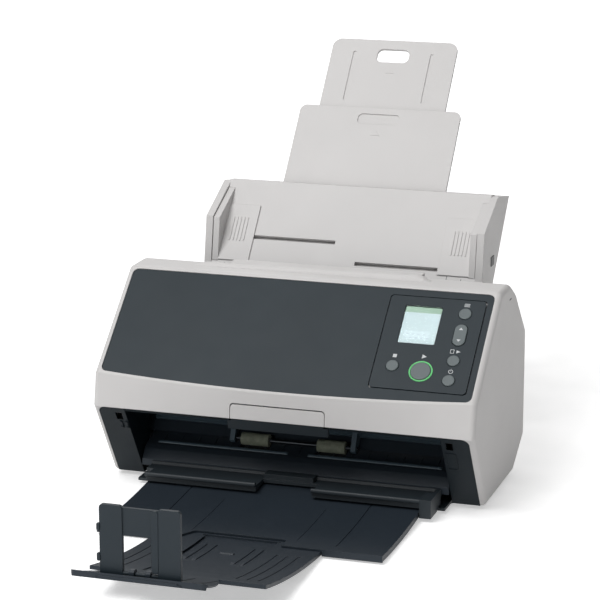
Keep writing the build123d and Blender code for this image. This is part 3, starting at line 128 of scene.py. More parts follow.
# Camera, solved from the photograph's own perspective
CAMERA_AZIMUTH = math.radians(17.77)
CAMERA_ELEVATION = math.radians(14.04)
CAMERA_DISTANCE = 1921.6
CAMERA_TARGET = (-2.1, 59.4, 149.6)
CAMERA_FOCAL_PIXELS = 2488.0
FRAME_PIXELS = 600.0
SENSOR_WIDTH = 36.0
CAMERA_CLIP_END = 100.0

# Lamps: place and size in metres, power in watts
LAMP_AIM = (0, 60, 90)
LAMPS = {
    "key": ((-0.7, -1.3, 2.5), 1.5, 52.0),
    "front": ((-0.3, -2.6, 0.35), 1.0, 9.0),
    "back": ((-0.8, 1.9, 1.6), 1.4, 12.0),
}

# Floor: half width, glow near the object and far off, and the distances of both, in metres
FLOOR_REACH = 12.0
FLOOR_GLOW = (0.5, 1.0)
FLOOR_GLOW_AT = (0.5, 2.5)

# Light that comes from all round, and how bright the camera sees it
WORLD_LIGHT = 0.28
WORLD_SEEN = 1.0


def at(x, y, z):
    """A place in millimetres, as metres in the frame."""
    return Vector((x * MM, FRONT_Y + y * MM, z * MM))


def on_slope(x, v, n):
    """A place on the hood's slope: v up it from the strip, n out of it."""
    y = v * math.cos(SLOPE_ANGLE) - n * math.sin(SLOPE_ANGLE)
    z = SLOPE_FOOT_Z + v * math.sin(SLOPE_ANGLE) + n * math.cos(SLOPE_ANGLE)
    return at(x, y, z)


def on_chute(x, s, n):
    """A place on the chute: s up it, n out of it."""
    y = CHUTE_Y + s * math.cos(CHUTE_ANGLE) - n * math.sin(CHUTE_ANGLE)
    z = CHUTE_Z + s * math.sin(CHUTE_ANGLE) + n * math.cos(CHUTE_ANGLE)
    return at(x, y, z)


def on_mouth(x, u, n):
    """A place on the mouth's leaning front: u down it from the strip, n out of it."""
    y = u * MOUTH_FOOT_Y / MOUTH_LENGTH - n * MOUTH_DROP / MOUTH_LENGTH
    z = MOUTH_TOP_Z - u * MOUTH_DROP / MOUTH_LENGTH - n * MOUTH_FOOT_Y / MOUTH_LENGTH
    return at(x, y, z)


def on_exit(x, t, n):
    """A place on the exit lip: t down it from 0 to 1, n above it."""
    y, z = [rear + (front - rear) * t for rear, front in zip(EXIT_REAR, EXIT_FRONT)]
    run, drop = EXIT_REAR[0] - EXIT_FRONT[0], EXIT_REAR[1] - EXIT_FRONT[1]
    length = math.hypot(run, drop)
    return at(x, y - n * drop / length, z + n * run / length)


def on_rear(x, z, n):
    """A place on the rear wall: n out of it."""
    return at(x, REAR_Y + n, z)


def on_board(x, z, n):
    """A place on the main board: n into the housing."""
    return at(x, BOARD_Y - n, z)


def under_pan(x, y, n):
    """A place under the base pan: n down from it."""
    return at(x, y, PAN_Z - n)


def on_side(side, half):
    """The places on a left or right wall at a half width, as a function of y, z and n out of the wall."""
    return lambda y, z, n: at(side * (half + n), y, z)


def on_stopper(x, z, n):
    """A place on the stopper's front face: n out of it."""
    return at(x, STOPPER_FRONT_Y - n, z)


def on_tray(x, s, n):
    """A place on the stacker's curve: s along it, n above the main tray's face."""
    angle = s / ARC_RADIUS
    radius = ARC_RADIUS - n
    y = ARC_LOW_Y + radius * math.sin(angle)
    z = ARC_LOW_Z + ARC_RADIUS - radius * math.cos(angle)
    return at(x, y, z)


# Materials

def srgb(red, green, blue):
    """Colour given as 0 to 255 on a screen, as the linear values that shaders take."""
    def linear(value):
        value /= 255.0
        return value / 12.92 if value <= 0.04045 else ((value + 0.055) / 1.055) ** 2.4
    return (linear(red), linear(green), linear(blue), 1.0)


class Nodes:
    """Small helper that adds and links the shader nodes of one material."""

    def __init__(self, name):
        self.material = bpy.data.materials.new(name)
        self.material.use_nodes = True
        self.tree = self.material.node_tree
        self.shader = self.tree.nodes["Principled BSDF"]
        self.place = self.add("ShaderNodeTexCoord").outputs["Object"]

    def add(self, kind, **settings):
        node = self.tree.nodes.new(kind)
        for key, value in settings.items():
            setattr(node, key, value)
        return node

    def link(self, source, target):
        self.tree.links.new(source, target)

    def feed(self, value, socket):
        """Sets a socket to a number or a colour, or links another node's output to it."""
        if isinstance(value, (int, float, tuple)):
            socket.default_value = value
        else:
            self.link(value, socket)

    def noise(self, scale, detail=4.0, stretch=None):
        """Cloudy values, with the place scaled along its axes where a stretch is given."""
        node = self.add("ShaderNodeTexNoise")
        node.inputs["Scale"].default_value = scale
        node.inputs["Detail"].default_value = detail
        node.inputs["Roughness"].default_value = NOISE_ROUGHNESS
        source = self.place
        if stretch:
            mapping = self.add("ShaderNodeMapping")
            mapping.inputs["Scale"].default_value = stretch
            self.link(self.place, mapping.inputs["Vector"])
            source = mapping.outputs["Vector"]
        self.link(source, node.inputs["Vector"])
        return node.outputs["Fac"]

    def ramp(self, source, low, high):
        """Colours between two values of a source."""
        node = self.add("ShaderNodeValToRGB")
        for element, position, colour in zip(node.color_ramp.elements, RAMP_ENDS, (low, high)):
            element.position = position
            element.color = colour
        self.link(source, node.inputs["Fac"])
        return node.outputs["Color"]

    def spread(self, source, low, high, start=0.0, end=1.0):
        """A number between low and high, following a source from start to end."""
        node = self.add("ShaderNodeMapRange")
        node.inputs["From Min"].default_value = start
        node.inputs["From Max"].default_value = end
        node.inputs["To Min"].default_value = low
        node.inputs["To Max"].default_value = high
        self.link(source, node.inputs["Value"])
        return node.outputs["Result"]

    def math(self, operation, first, second):
        node = self.add("ShaderNodeMath", operation=operation)
        for socket, value in zip(node.inputs, (first, second)):
            self.feed(value, socket)
        return node.outputs["Value"]

    def mix(self, factor, first, second):
        """Mixes two colours."""
        node = self.add("ShaderNodeMix", data_type="RGBA")
        for index, value in zip(MIX_INPUTS, (factor, first, second)):
            self.feed(value, node.inputs[index])
        return node.outputs[MIX_OUTPUT]

    def bump(self, height, depth, edge=0.0):
        """Relief of a given depth in metres, over softly rounded edges."""
        node = self.add("ShaderNodeBump")
        node.inputs["Distance"].default_value = depth
        node.inputs["Strength"].default_value = 1.0
        self.link(height, node.inputs["Height"])
        if edge:
            rounding = self.add("ShaderNodeBevel", samples=4)
            rounding.inputs["Radius"].default_value = edge
            self.link(rounding.outputs["Normal"], node.inputs["Normal"])
        self.link(node.outputs["Normal"], self.shader.inputs["Normal"])

    def finish(self, colour, roughness):
        self.link(colour, self.shader.inputs["Base Color"])
        self.link(roughness, self.shader.inputs["Roughness"])
        return self.material


def shade(colour, factor):
    """The same colour, lighter or darker."""
    return tuple(channel * factor for channel in colour[:3]) + (1.0,)


def plastic(name, colour, roughness=0.5, depth=0.00003, vary=0.05, edge=0.0004, specular=0.4):
    """Moulded plastic: fine spark-eroded grain, faint clouding and softly rounded edges."""
    speck, speck_shade, uneven = 0.25, 0.9, 0.06
    nodes = Nodes(name)
    cloud = nodes.noise(14.0, detail=3.0)
    fine = nodes.noise(GRAIN_SCALE, detail=2.0)
    clouded = nodes.ramp(cloud, shade(colour, 1.0 - vary), shade(colour, 1.0 + vary))
    speckled = nodes.mix(nodes.spread(fine, 0.0, speck), clouded, shade(colour, speck_shade))
    nodes.bump(fine, depth, edge)
    nodes.shader.inputs["Specular IOR Level"].default_value = specular
    return nodes.finish(speckled, nodes.spread(nodes.noise(60.0), roughness - uneven, roughness + uneven))


def rubber(name, colour, grooves=0.0):
    """Soft matte rubber with a dusty bloom, its relief drawn out along X where grooves are asked for."""
    nodes = Nodes(name)
    dust = nodes.noise(220.0, detail=5.0)
    tinted = nodes.ramp(dust, shade(colour, 0.85), shade(colour, 1.2))
    relief = nodes.noise(900.0, detail=3.0, stretch=(grooves, 1, 1) if grooves else None)
    nodes.bump(relief, depth=0.00006, edge=0.0003)
    nodes.shader.inputs["Specular IOR Level"].default_value = 0.25
    return nodes.finish(tinted, nodes.spread(dust, 0.7, 0.9))


def steel(name, colour):
    """Zinc-plated steel with fine draw lines along X."""
    nodes = Nodes(name)
    lines = nodes.noise(1400.0, stretch=(0.04, 1, 1))
    cloud = nodes.noise(45.0)
    tinted = nodes.ramp(cloud, shade(colour, 0.86), shade(colour, 1.08))
    nodes.bump(lines, depth=0.00002, edge=0.0002)
    nodes.shader.inputs["Metallic"].default_value = 1.0
    return nodes.finish(tinted, nodes.spread(lines, 0.28, 0.45))


def clear(name, tint, roughness):
    """Clear moulded window or glass with a trace of haze."""
    nodes = Nodes(name)
    haze = nodes.noise(120.0)
    nodes.shader.inputs["Transmission Weight"].default_value = 1.0
    nodes.shader.inputs["IOR"].default_value = 1.3
    nodes.shader.inputs["Alpha"].default_value = 0.45
    tinted = nodes.ramp(haze, shade(tint, 0.97), tint)
    return nodes.finish(tinted, nodes.spread(haze, roughness, roughness + 0.05))


def circuit_board(name):
    """Green coated board, with lighter lines between darker blocks in place of tracks."""
    nodes = Nodes(name)
    brick = nodes.add("ShaderNodeTexBrick", offset=0.37)
    brick.inputs["Scale"].default_value = 260.0
    brick.inputs["Mortar Size"].default_value = 0.03
    brick.inputs["Color1"].default_value = srgb(24, 92, 58)
    brick.inputs["Color2"].default_value = srgb(18, 74, 48)
    brick.inputs["Mortar"].default_value = srgb(60, 140, 88)
    mapping = nodes.add("ShaderNodeMapping")
    mapping.inputs["Rotation"].default_value = (math.pi / 2, 0, 0)
    nodes.link(nodes.place, mapping.inputs["Vector"])
    nodes.link(mapping.outputs["Vector"], brick.inputs["Vector"])
    nodes.bump(brick.outputs["Fac"], depth=0.00004)
    return nodes.finish(brick.outputs["Color"], nodes.spread(nodes.noise(300.0), 0.3, 0.45))


def slope_place(nodes):
    """Shader outputs that say how far across and how far up the slope a point is, in metres."""
    split = nodes.add("ShaderNodeSeparateXYZ")
    nodes.link(nodes.place, split.inputs["Vector"])
    behind = nodes.math("SUBTRACT", split.outputs["Y"], FRONT_Y)
    above = nodes.math("SUBTRACT", split.outputs["Z"], SLOPE_FOOT_Z * MM)
    along = nodes.math("MULTIPLY", behind, math.cos(SLOPE_ANGLE))
    rise = nodes.math("MULTIPLY", above, math.sin(SLOPE_ANGLE))
    return split.outputs["X"], nodes.math("ADD", along, rise)


def between(nodes, value, low, high):
    """One where a value lies between low and high, and zero elsewhere."""
    above = nodes.math("GREATER_THAN", value, low)
    below = nodes.math("LESS_THAN", value, high)
    return nodes.math("MULTIPLY", above, below)


def outside(nodes, value, low, high):
    """One where a value lies below low or above high, and zero elsewhere."""
    below = nodes.math("LESS_THAN", value, low)
    above = nodes.math("GREATER_THAN", value, high)
    return nodes.math("ADD", below, above)


def display(name):
    """Lit liquid crystal: pale ground, a tinted head band and faint rows of short dashes near its foot."""
    left, right, bottom, top = 80.5 * MM, 108.8 * MM, 57.6 * MM, 91.5 * MM
    band, dash_pitch, dash_strength = 5.2 * MM, 3.4 * MM, 0.4
    rows_left, rows_right = left + 3 * MM, right - 5 * MM
    rows_bottom, rows_top = bottom + 4 * MM, bottom + 12 * MM
    nodes = Nodes(name)
    across, up = slope_place(nodes)
    dashes = nodes.add("ShaderNodeTexBrick", offset=0.3, offset_frequency=3)
    dashes.inputs["Scale"].default_value = 1.0 / dash_pitch
    dashes.inputs["Brick Width"].default_value = 1.3
    dashes.inputs["Row Height"].default_value = 1.0
    dashes.inputs["Mortar Size"].default_value = 0.38
    dashes.inputs["Color1"].default_value = srgb(150, 165, 185)
    dashes.inputs["Color2"].default_value = srgb(190, 203, 215)
    dashes.inputs["Mortar"].default_value = srgb(222, 234, 238)
    place = nodes.add("ShaderNodeCombineXYZ")
    nodes.link(across, place.inputs["X"])
    nodes.link(up, place.inputs["Y"])
    nodes.link(place.outputs["Vector"], dashes.inputs["Vector"])
    inside_x = between(nodes, across, rows_left, rows_right)
    inside_v = between(nodes, up, rows_bottom, rows_top)
    inside = nodes.math("MULTIPLY", inside_x, inside_v)
    ground = nodes.mix(nodes.noise(90.0), srgb(190, 207, 209), srgb(199, 214, 215))
    rows = nodes.mix(nodes.math("MULTIPLY", inside, dash_strength), ground, dashes.outputs["Color"])
    head = nodes.math("GREATER_THAN", up, top - band)
    picture = nodes.mix(head, rows, srgb(150, 178, 156))
    edge = nodes.math("ADD", outside(nodes, across, left, right), outside(nodes, up, bottom, top))
    framed = nodes.mix(nodes.math("MINIMUM", edge, 1.0), picture, srgb(60, 66, 72))
    nodes.link(framed, nodes.shader.inputs["Emission Color"])
    nodes.shader.inputs["Emission Strength"].default_value = 0.08
    return nodes.finish(framed, nodes.spread(nodes.noise(200.0), 0.3, 0.4))


def lit_ring(name, colour):
    """Translucent light guide with a soft glow of its own."""
    nodes = Nodes(name)
    cloud = nodes.noise(160.0)
    tinted = nodes.ramp(cloud, shade(colour, 0.85), shade(colour, 1.15))
    nodes.link(tinted, nodes.shader.inputs["Emission Color"])
    nodes.shader.inputs["Emission Strength"].default_value = 0.3
    nodes.shader.inputs["Subsurface Weight"].default_value = 0.2
    nodes.bump(nodes.noise(1500.0), depth=0.00001, edge=0.0003)
    return nodes.finish(tinted, nodes.spread(cloud, 0.25, 0.4))


MATERIALS = {
    "grey_plastic": plastic("grey_plastic", srgb(211, 209, 208), 0.52, vary=0.015),
    "slate_plastic": plastic("slate_plastic", srgb(38, 48, 54), 0.48, depth=0.00002, specular=0.3),
    "dark_plastic": plastic("dark_plastic", srgb(40, 47, 52), 0.5),
    # Darker than dark plastic: painted shade on the cheeks of the mouth, standing in for the shadow that
    # falls there
    "cheek_plastic_painted_shade": plastic("cheek_plastic_painted_shade", srgb(17, 27, 33), 0.55, specular=0.2),
    # Lighter blue-grey: painted light inside the mouth, standing in for light that reaches in from the
    # front
    "path_plastic_painted_light": plastic("path_plastic_painted_light", srgb(68, 84, 94), 0.42),
    "tray_plastic": plastic("tray_plastic", srgb(39, 47, 55), 0.48, depth=0.00004, specular=0.3),
    "stopper_plastic": plastic("stopper_plastic", srgb(34, 44, 51), 0.48, depth=0.00004, specular=0.3),
    "print_white": plastic("print_white", srgb(205, 208, 210), 0.5, edge=0.0),
    "print_grey": plastic("print_grey", srgb(120, 122, 124), 0.5, edge=0.0),
    "plate_silver": plastic("plate_silver", srgb(176, 178, 180), 0.35, edge=0.0),
    "black_plastic": plastic("black_plastic", srgb(24, 26, 28), 0.45),
    "button_grey": plastic("button_grey", srgb(100, 109, 111), 0.4, depth=0.00001),
    "green_ring": lit_ring("green_ring", srgb(86, 180, 104)),
    "clear_window": clear("clear_window", srgb(240, 246, 248), 0.05),
    "display": display("display"),
    "circuit_board": circuit_board("circuit_board"),
    "rubber": rubber("rubber", srgb(48, 49, 50)),
    "olive_rubber": rubber("olive_rubber", srgb(122, 127, 112), grooves=0.2),
    "steel": steel("steel", srgb(196, 198, 200)),
    "dark_steel": steel("dark_steel", srgb(74, 78, 82)),
    "glass": clear("glass", srgb(215, 228, 232), 0.02),
}


# Pieces whose look differs a little from the rest of their slot
OWN_LOOKS = {
    # The mouth frame's darker look is painted shade
    "mouth_frame": "cheek_plastic_painted_shade",
    # The upper guide's lighter look is painted light
    "upper_guide": "path_plastic_painted_light",
    "lower_guide": "tray_plastic",
    "idler_shaft": "dark_steel",
    "stopper": "stopper_plastic",
}


def dress_nodes():
    """Gives every CAD piece the material of its slot or a look of its own."""
    for row in frame["record"]["subparts"]:
        piece = frame["nodes"][row["node"]]
        material = MATERIALS[OWN_LOOKS.get(row["node"], row["material_slot"])]
        piece.data.materials.clear()
        piece.data.materials.append(material)


# Outlines

def rectangle(x0, x1, y0, y1):
    """Corners of a rectangle."""
    return [(x0, y0), (x1, y0), (x1, y1), (x0, y1)]


def arc(x, y, radius, start, end, count):
    """Points along an arc, angles in degrees."""
    angles = [math.radians(start + (end - start) * index / (count - 1)) for index in range(count)]
    return [(x + radius * math.cos(angle), y + radius * math.sin(angle)) for angle in angles]


def disc(x, y, radius, count=28):
    """Points of a full circle."""
    return arc(x, y, radius, 0, 360 - 360 / count, count)


def rounded(x0, x1, y0, y1, radius, count=6):
    """Rectangle with round corners."""
    right, left, top, bottom = x1 - radius, x0 + radius, y1 - radius, y0 + radius
    points = []
    for index, (x, y) in enumerate(((right, top), (left, top), (left, bottom), (right, bottom))):
        points += arc(x, y, radius, 90 * index, 90 * index + 90, count)
    return points


def arc_band(x, y, radius, width, start, end, count=16):
    """Part of a ring."""
    return arc(x, y, radius, start, end, count) + arc(x, y, radius - width, end, start, count)


def inset(outline, width):
    """The outline drawn in towards its middle."""
    middle_x = sum(x for x, y in outline) / len(outline)
    middle_y = sum(y for x, y in outline) / len(outline)
    points = []
    for x, y in outline:
        reach = math.hypot(x - middle_x, y - middle_y)
        share = max(0.0, 1.0 - width / reach)
        points.append((middle_x + (x - middle_x) * share, middle_y + (y - middle_y) * share))
    return points


def evenly(first, pitch, count):
    """Numbers at an even pitch."""
    return [first + index * pitch for index in range(count)]


# Pieces

class Piece:
    """Collects the mesh of one named piece."""

    def __init__(self, name):
        self.name = name
        self.mesh = bmesh.new()

    def rows(self, rings):
        """Vertices of each ring of points."""
        return [[self.mesh.verts.new(point) for point in ring] for ring in rings]

    def join(self, first, second):
        """Faces between two rings."""
        count = len(first)
        for index in range(count):
            after = (index + 1) % count
            self.mesh.faces.new((first[index], first[after], second[after], second[index]))

    def skin(self, rings):
        """Closed surface through rings of points, with a face over each end."""
        rows = self.rows(rings)
        for first, second in zip(rows, rows[1:]):
            self.join(first, second)
        self.mesh.faces.new(list(reversed(rows[0])))
        self.mesh.faces.new(rows[-1])

    def prism(self, place, outline, low, high, soften=0.0):
        """Plate over an outline, with a small chamfer round its top where it is softened."""
        rings = [[place(x, y, low) for x, y in outline]]
        top = outline
        if soften:
            rings.append([place(x, y, high - soften) for x, y in outline])
            top = inset(outline, soften)
        rings.append([place(x, y, high) for x, y in top])
        self.skin(rings)

    def frame(self, place, outer, inner, low, high):
        """Raised border between two outlines of the same number of points."""
        loops = ((outer, low), (outer, high), (inner, high), (inner, low))
        rows = self.rows([[place(x, y, n) for x, y in outline] for outline, n in loops])
        for row, next_row in zip(rows, rows[1:] + rows[:1]):
            self.join(row, next_row)

    def bar(self, place, x0, x1, s0, s1, low, high, steps):
        """Bar that follows a curved face from s0 to s1, with low ends and sloped sides."""
        end_share, slant_share = 0.3, 0.25
        slant = slant_share * min(x1 - x0, high - low)
        rings = []
        for index in range(steps + 1):
            s = s0 + (s1 - s0) * index / steps
            top = high if 0 < index < steps else low + end_share * (high - low)
            rings.append([place(x0, s, low), place(x1, s, low), place(x1 - slant, s, top),
                          place(x0 + slant, s, top)])
        self.skin(rings)

    def finish(self, body, slot, material=None):
        """Turns the collected mesh into a piece that rides on a body."""
        bmesh.ops.recalc_face_normals(self.mesh, faces=self.mesh.faces)
        data = bpy.data.meshes.new(self.name)
        self.mesh.to_mesh(data)
        self.mesh.free()
        data.materials.append(MATERIALS[material or slot])
        piece = bpy.data.objects.new(self.name, data)
        bpy.context.scene.collection.objects.link(piece)
        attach(piece, body)


# Details of the hood

def menu_sign(signs, layer):
    """Three short bars."""
    x, v, radius = KEYS["menu"]
    half, thickness, pitch = 2.2, 0.5, 1.1
    for foot in evenly(v + radius + SIGN_GAP, pitch, 3):
        signs.prism(on_slope, rectangle(x - half, x + half, foot, foot + thickness), *layer)


def feed_sign(signs, layer):
    """Outline of a sheet with an arrow on its right."""
    x, v, radius = KEYS["feed"]
    line, height = 0.4, 3.6
    sheet_left, sheet_right = x - 4.2, x - 1.2
    arrow_left, arrow_right = x + 0.6, x + 3.8
    foot = v + radius + SIGN_GAP
    top = foot + height
    outer = rectangle(sheet_left, sheet_right, foot, top)
    inner = rectangle(sheet_left + line, sheet_right - line, foot + line, top - line)
    arrow = [(arrow_left, foot + line), (arrow_right, foot + height / 2), (arrow_left, top - line)]
    signs.frame(on_slope, outer, inner, *layer)
    signs.prism(on_slope, arrow, *layer)


def power_sign(signs, layer):
    """Ring that is open at the top, with a short line in the gap."""
    x, v, radius = KEYS["power"]
    line, ring, start, end, gap = 0.5, 1.9, 120, 420, 3.6
    stem_foot, stem_top = 0.3, 2.3
    middle = v + radius + gap
    stem = rectangle(x - line / 2, x + line / 2, middle + stem_foot, middle + stem_top)
    signs.prism(on_slope, arc_band(x, middle, ring, line, start, end), *layer)
    signs.prism(on_slope, stem, *layer)


def stop_sign(signs, layer):
    """Square."""
    x, v, radius = KEYS["stop"]
    half, gap = 1.5, 3.0
    foot = v + radius + gap
    signs.prism(on_slope, rectangle(x - half, x + half, foot, foot + 2 * half), *layer)


def scan_sign(signs, layer):
    """Triangle that points to the right."""
    x, v, radius = KEYS["scan"]
    left, right, height, gap = x - 1.6, x + 2.0, 3.8, 2.2
    foot = v + radius + gap
    signs.prism(on_slope, [(left, foot), (right, foot + height / 2), (left, foot + height)], *layer)


def console_signs():
    """Plain signs printed above the keys."""
    signs = Piece("console_signs")
    layer = (CONSOLE_TOP - PRINT_SUNK, CONSOLE_TOP + PRINT_HEIGHT)
    for sign in (menu_sign, feed_sign, power_sign, stop_sign, scan_sign):
        sign(signs, layer)
    signs.finish("cover", "button_grey", "print_white")


def rocker_arrows():
    """An arrow at each end of the long key."""
    arrows = Piece("rocker_arrows")
    x, v, length = ROCKER
    half, height, end_gap = 1.6, 2.2, 5.4
    for side in (-1, 1):
        foot = v + side * (length / 2 - end_gap)
        outline = [(x - half, foot), (x + half, foot), (x, foot + side * height)]
        arrows.prism(on_slope, outline, KEY_TOP - PRINT_SUNK, KEY_TOP + PRINT_HEIGHT)
    arrows.finish("select_rocker", "button_grey", "print_white")


def cheek_marks():
    """Two moulded prongs on the left cheek and a shallow border on the right one."""
    marks = Piece("cheek_marks")
    sunk, soften, round_prong = 0.4, 0.3, 0.9
    width, start, end, height = 2.2, 15.0, 22.0, 0.9
    head_more, head_start, head_end, head_height = 0.3, 20.5, 22.6, 1.4
    for x in (-133.0, -128.6):
        prong = rounded(x, x + width, start, end, round_prong)
        head = rounded(x - head_more, x + width + head_more, head_start, head_end, round_prong)
        marks.prism(on_mouth, prong, -sunk, height, soften)
        marks.prism(on_mouth, head, -sunk, head_height, soften)
    left, right, top, foot = 127.6, 136.4, 17.0, 36.0
    line, round_outer, round_inner, border_height = 0.9, 1.6, 0.9, 0.45
    outer = rounded(left, right, top, foot, round_outer)
    inner = rounded(left + line, right - line, top + line, foot - line, round_inner)
    marks.frame(on_mouth, outer, inner, -sunk, border_height)
    # The marks take the cheeks' painted shade
    marks.finish("cover", "dark_plastic", "cheek_plastic_painted_shade")


def exit_ribs():
    """Low ribs that carry the sheet down the exit lip."""
    ribs = Piece("exit_ribs")
    half, start, end, sunk, height = 0.6, 0.12, 0.97, 0.2, 0.5
    for x in evenly(first=-112.0, pitch=14.0, count=17):
        ribs.bar(on_exit, x - half, x + half, start, end, -sunk, height, steps=4)
    ribs.finish("base", "dark_plastic", "tray_plastic")


def exit_strips():
    """Two round strips across the exit lip, one on each side of the middle."""
    strips = Piece("exit_strips")
    inner, outer = 8.0, 116.0
    # Places down the lip with heights, then distances from a strip's end with the share of those heights
    profile = [(0.70, -0.2), (0.73, 0.8), (0.79, 1.3), (0.85, 0.8), (0.88, -0.2)]
    ends = ((0.0, 0.4), (1.0, 0.9), (2.5, 1.0))
    for x0, x1 in ((-outer, -inner), (inner, outer)):
        stations = [(x0 + reach, share) for reach, share in ends]
        stations += [(x1 - reach, share) for reach, share in reversed(ends)]
        strips.skin([[on_exit(x, t, n * share) for t, n in profile] for x, share in stations])
    # Their lighter colour is partly painted highlight, added to the highlight that their round shape
    # catches
    strips.finish("base", "dark_plastic", "path_plastic_painted_light")


def rear_lip():
    """Low raised lip along the hood's rear top edge, higher to the right and round at its ends."""
    lip = Piece("rear_lip")
    (left, right), (front, rear), (low, high) = LIP_X, LIP_Y, LIP_RISE
    foot_z = HOOD_TOP_Z - 2.0
    # Its outline as x and rise, then its sections as y and the share of that rise
    outline = [(left - 5.0, 0.0), (left - 1.0, 0.4 * low), (left + 4.0, low), (right - 5.0, high),
               (right - 1.0, 0.75 * high), (right + 2.0, 0.3 * high), (right + 5.0, 0.0)]
    sections = ((front, 0.0), (front + 1.4, 0.7), (front + 3.0, 1.0), (rear - 0.8, 1.0), (rear, 0.75))
    rings = []
    for y, share in sections:
        top = [at(x, y, HOOD_TOP_Z + max(LIP_LEAST, rise * share)) for x, rise in outline]
        foot = [at(x, y, foot_z) for x, rise in reversed(outline)]
        rings.append(top + foot)
    lip.skin(rings)
    lip.finish("cover", "grey_plastic")


def hood_marks():
    """Short moulded dash on each side of the hood, by the hinge."""
    marks = Piece("hood_marks")
    dash, sunk, height = rectangle(108.0, 114.5, 149.0, 150.2), 0.2, 0.004
    for side in (-1, 1):
        marks.prism(on_side(side, HOOD_HALF), dash, -sunk, height)
    marks.finish("cover", "dark_plastic")


# Details of stacker and stopper

def stacker_ribs():
    """Two long low ribs on the main tray."""
    ribs = Piece("stacker_ribs")
    front, rear, sunk = -30.0, 45.0, 0.2
    for x in (-40.5, 40.5):
        sides = (x - TRAY_RIB_HALF, x + TRAY_RIB_HALF)
        ribs.bar(on_tray, *sides, front, rear, -sunk, TRAY_RIB_HEIGHT, steps=16)
    ribs.finish("stacker", "tray_plastic")


def channel_ribs():
    """Rails and stop in the first extension's channel, behind the second one."""
    ribs = Piece("channel_ribs")
    floor, sunk, rail_height, stop_height = -3.6, 0.1, 0.9, 1.3
    front, rear = -97.0, -47.0
    for x0, x1 in ((-23.0, -20.2), (-16.0, -12.5), (13.0, 16.5), (20.5, 23.3)):
        ribs.bar(on_tray, x0, x1, front, rear, floor - sunk, floor + rail_height, steps=12)
    ribs.bar(on_tray, -4.0, 7.0, -70.0, -66.5, floor - sunk, floor + stop_height, steps=4)
    ribs.finish("stacker_extension", "tray_plastic")


def tip_ribs():
    """Ribs on the second extension that run out to its front lip."""
    ribs = Piece("tip_ribs")
    front, rear, sunk = -228.0, -186.0, 0.3
    for x in (-36.0, -20.0, 20.0, 36.0):
        sides = (x - TRAY_RIB_HALF, x + TRAY_RIB_HALF)
        ribs.bar(on_tray, *sides, front, rear, -sunk, TRAY_RIB_HEIGHT, steps=10)
    ribs.finish("stacker_tip", "tray_plastic")


def stopper_edges():
    """Flange beside the right post, set back a little, and two bosses beside the left post."""
    edges = Piece("stopper_edges")
    foot, top = STOPPER_Z
    lap, soften = 0.5, 0.3
    flange_width, flange_round = 4.2, 1.6
    inner = STOPPER_HALF - STOPPER_POST
    flange = rounded(inner - flange_width, inner + lap, foot + 1.0, top - 2.5, flange_round)
    edges.prism(on_stopper, flange, -2.8, -0.8, soften)
    boss_reach, boss_round = 1.9, 0.8
    for low, high in ((foot + 6.0, foot + 11.5), (foot + 27.0, foot + 32.0)):
        boss = rounded(-STOPPER_HALF - boss_reach, -STOPPER_HALF + lap, low, high, boss_round)
        edges.prism(on_stopper, boss, -2.4, -0.4, soften)
    edges.finish("stopper", "tray_plastic", "stopper_plastic")


# Details of the chute

def chute_marks():
    """Size ticks at the foot of the chute, long and short by turns."""
    marks = Piece("chute_marks")
    half, foot, short, tall, sunk = 0.3, 3.0, 3.0, 5.0, 0.04
    for side in (-1, 1):
        for index, x in enumerate((34.0, 46.0, 58.0, 70.0, 88.0, 100.0)):
            height = short if index % 2 else tall
            tick = rectangle(side * x - half, side * x + half, foot, foot + height)
            marks.prism(on_chute, tick, -sunk, PRINT_HEIGHT)
    marks.finish("base", "grey_plastic", "print_grey")


def chute_catch():
    """Dark catch on each side wall of the chute."""
    catch = Piece("chute_catch")
    outline, sunk, height, soften = rounded(190.0, 200.0, 155.0, 163.0, 1.0), 0.4, 0.5, 0.15
    for side in (-1, 1):
        catch.prism(on_side(side, CHUTE_WALL), outline, -sunk, height, soften)
    catch.finish("base", "black_plastic")


def guide_grips():
    """Finger ribs on the foot of each side guide."""
    half, start, end, round_end = 0.6, 26.0, 48.0, 0.5
    low, high, soften = 1.2, 1.9, 0.2
    for name, side in (("guide_left", -1), ("guide_right", 1)):
        grips = Piece(name + "_grips")
        for x in evenly(first=88.0, pitch=3.0, count=5):
            rib = rounded(side * x - half, side * x + half, start, end, round_end, count=3)
            grips.prism(on_chute, rib, low, high, soften)
        grips.finish(name, "grey_plastic")


def extension_arrows():
    """Raised arrow on each sliding plate of the chute."""
    half, length, sunk, height, soften = 4.0, 5.0, 0.1, 0.3, 0.1
    for body, s, n in (("chute_extension", 140.0, -12.0), ("chute_tip", 203.0, -14.8)):
        arrow = Piece(body + "_arrow")
        outline = [(-half, s), (half, s), (0.0, s + length)]
        arrow.prism(on_chute, outline, n - sunk, n + height, soften)
        arrow.finish(body, "grey_plastic")


# Details of the rear, the underside and the inside

def screw_head(screws, place, x, y, head, hollow, sunk, height, floor_height):
    """Round head with a hollow middle."""
    lap = 0.2
    screws.frame(place, disc(x, y, head), disc(x, y, hollow), -sunk, height)
    screws.prism(place, disc(x, y, hollow + lap), -sunk, floor_height)


def rear_plate():
    """Bare plate for a label on the rear wall."""
    plate = Piece("rear_plate")
    height = 0.2
    plate.prism(on_rear, rounded(-14.0, 22.0, 74.0, 100.0, 2.0), -REAR_SUNK, height)
    plate.finish("base", "grey_plastic", "plate_silver")


def rear_screws():
    """Screw heads near the corners of the rear wall."""
    screws = Piece("rear_screws")
    for z in (34.0, 100.0):
        for x in (-134.0, 134.0):
            screw_head(screws, on_rear, x, z, 3.2, 1.1, REAR_SUNK, height=0.5, floor_height=0.1)
    screws.finish("base", "steel")


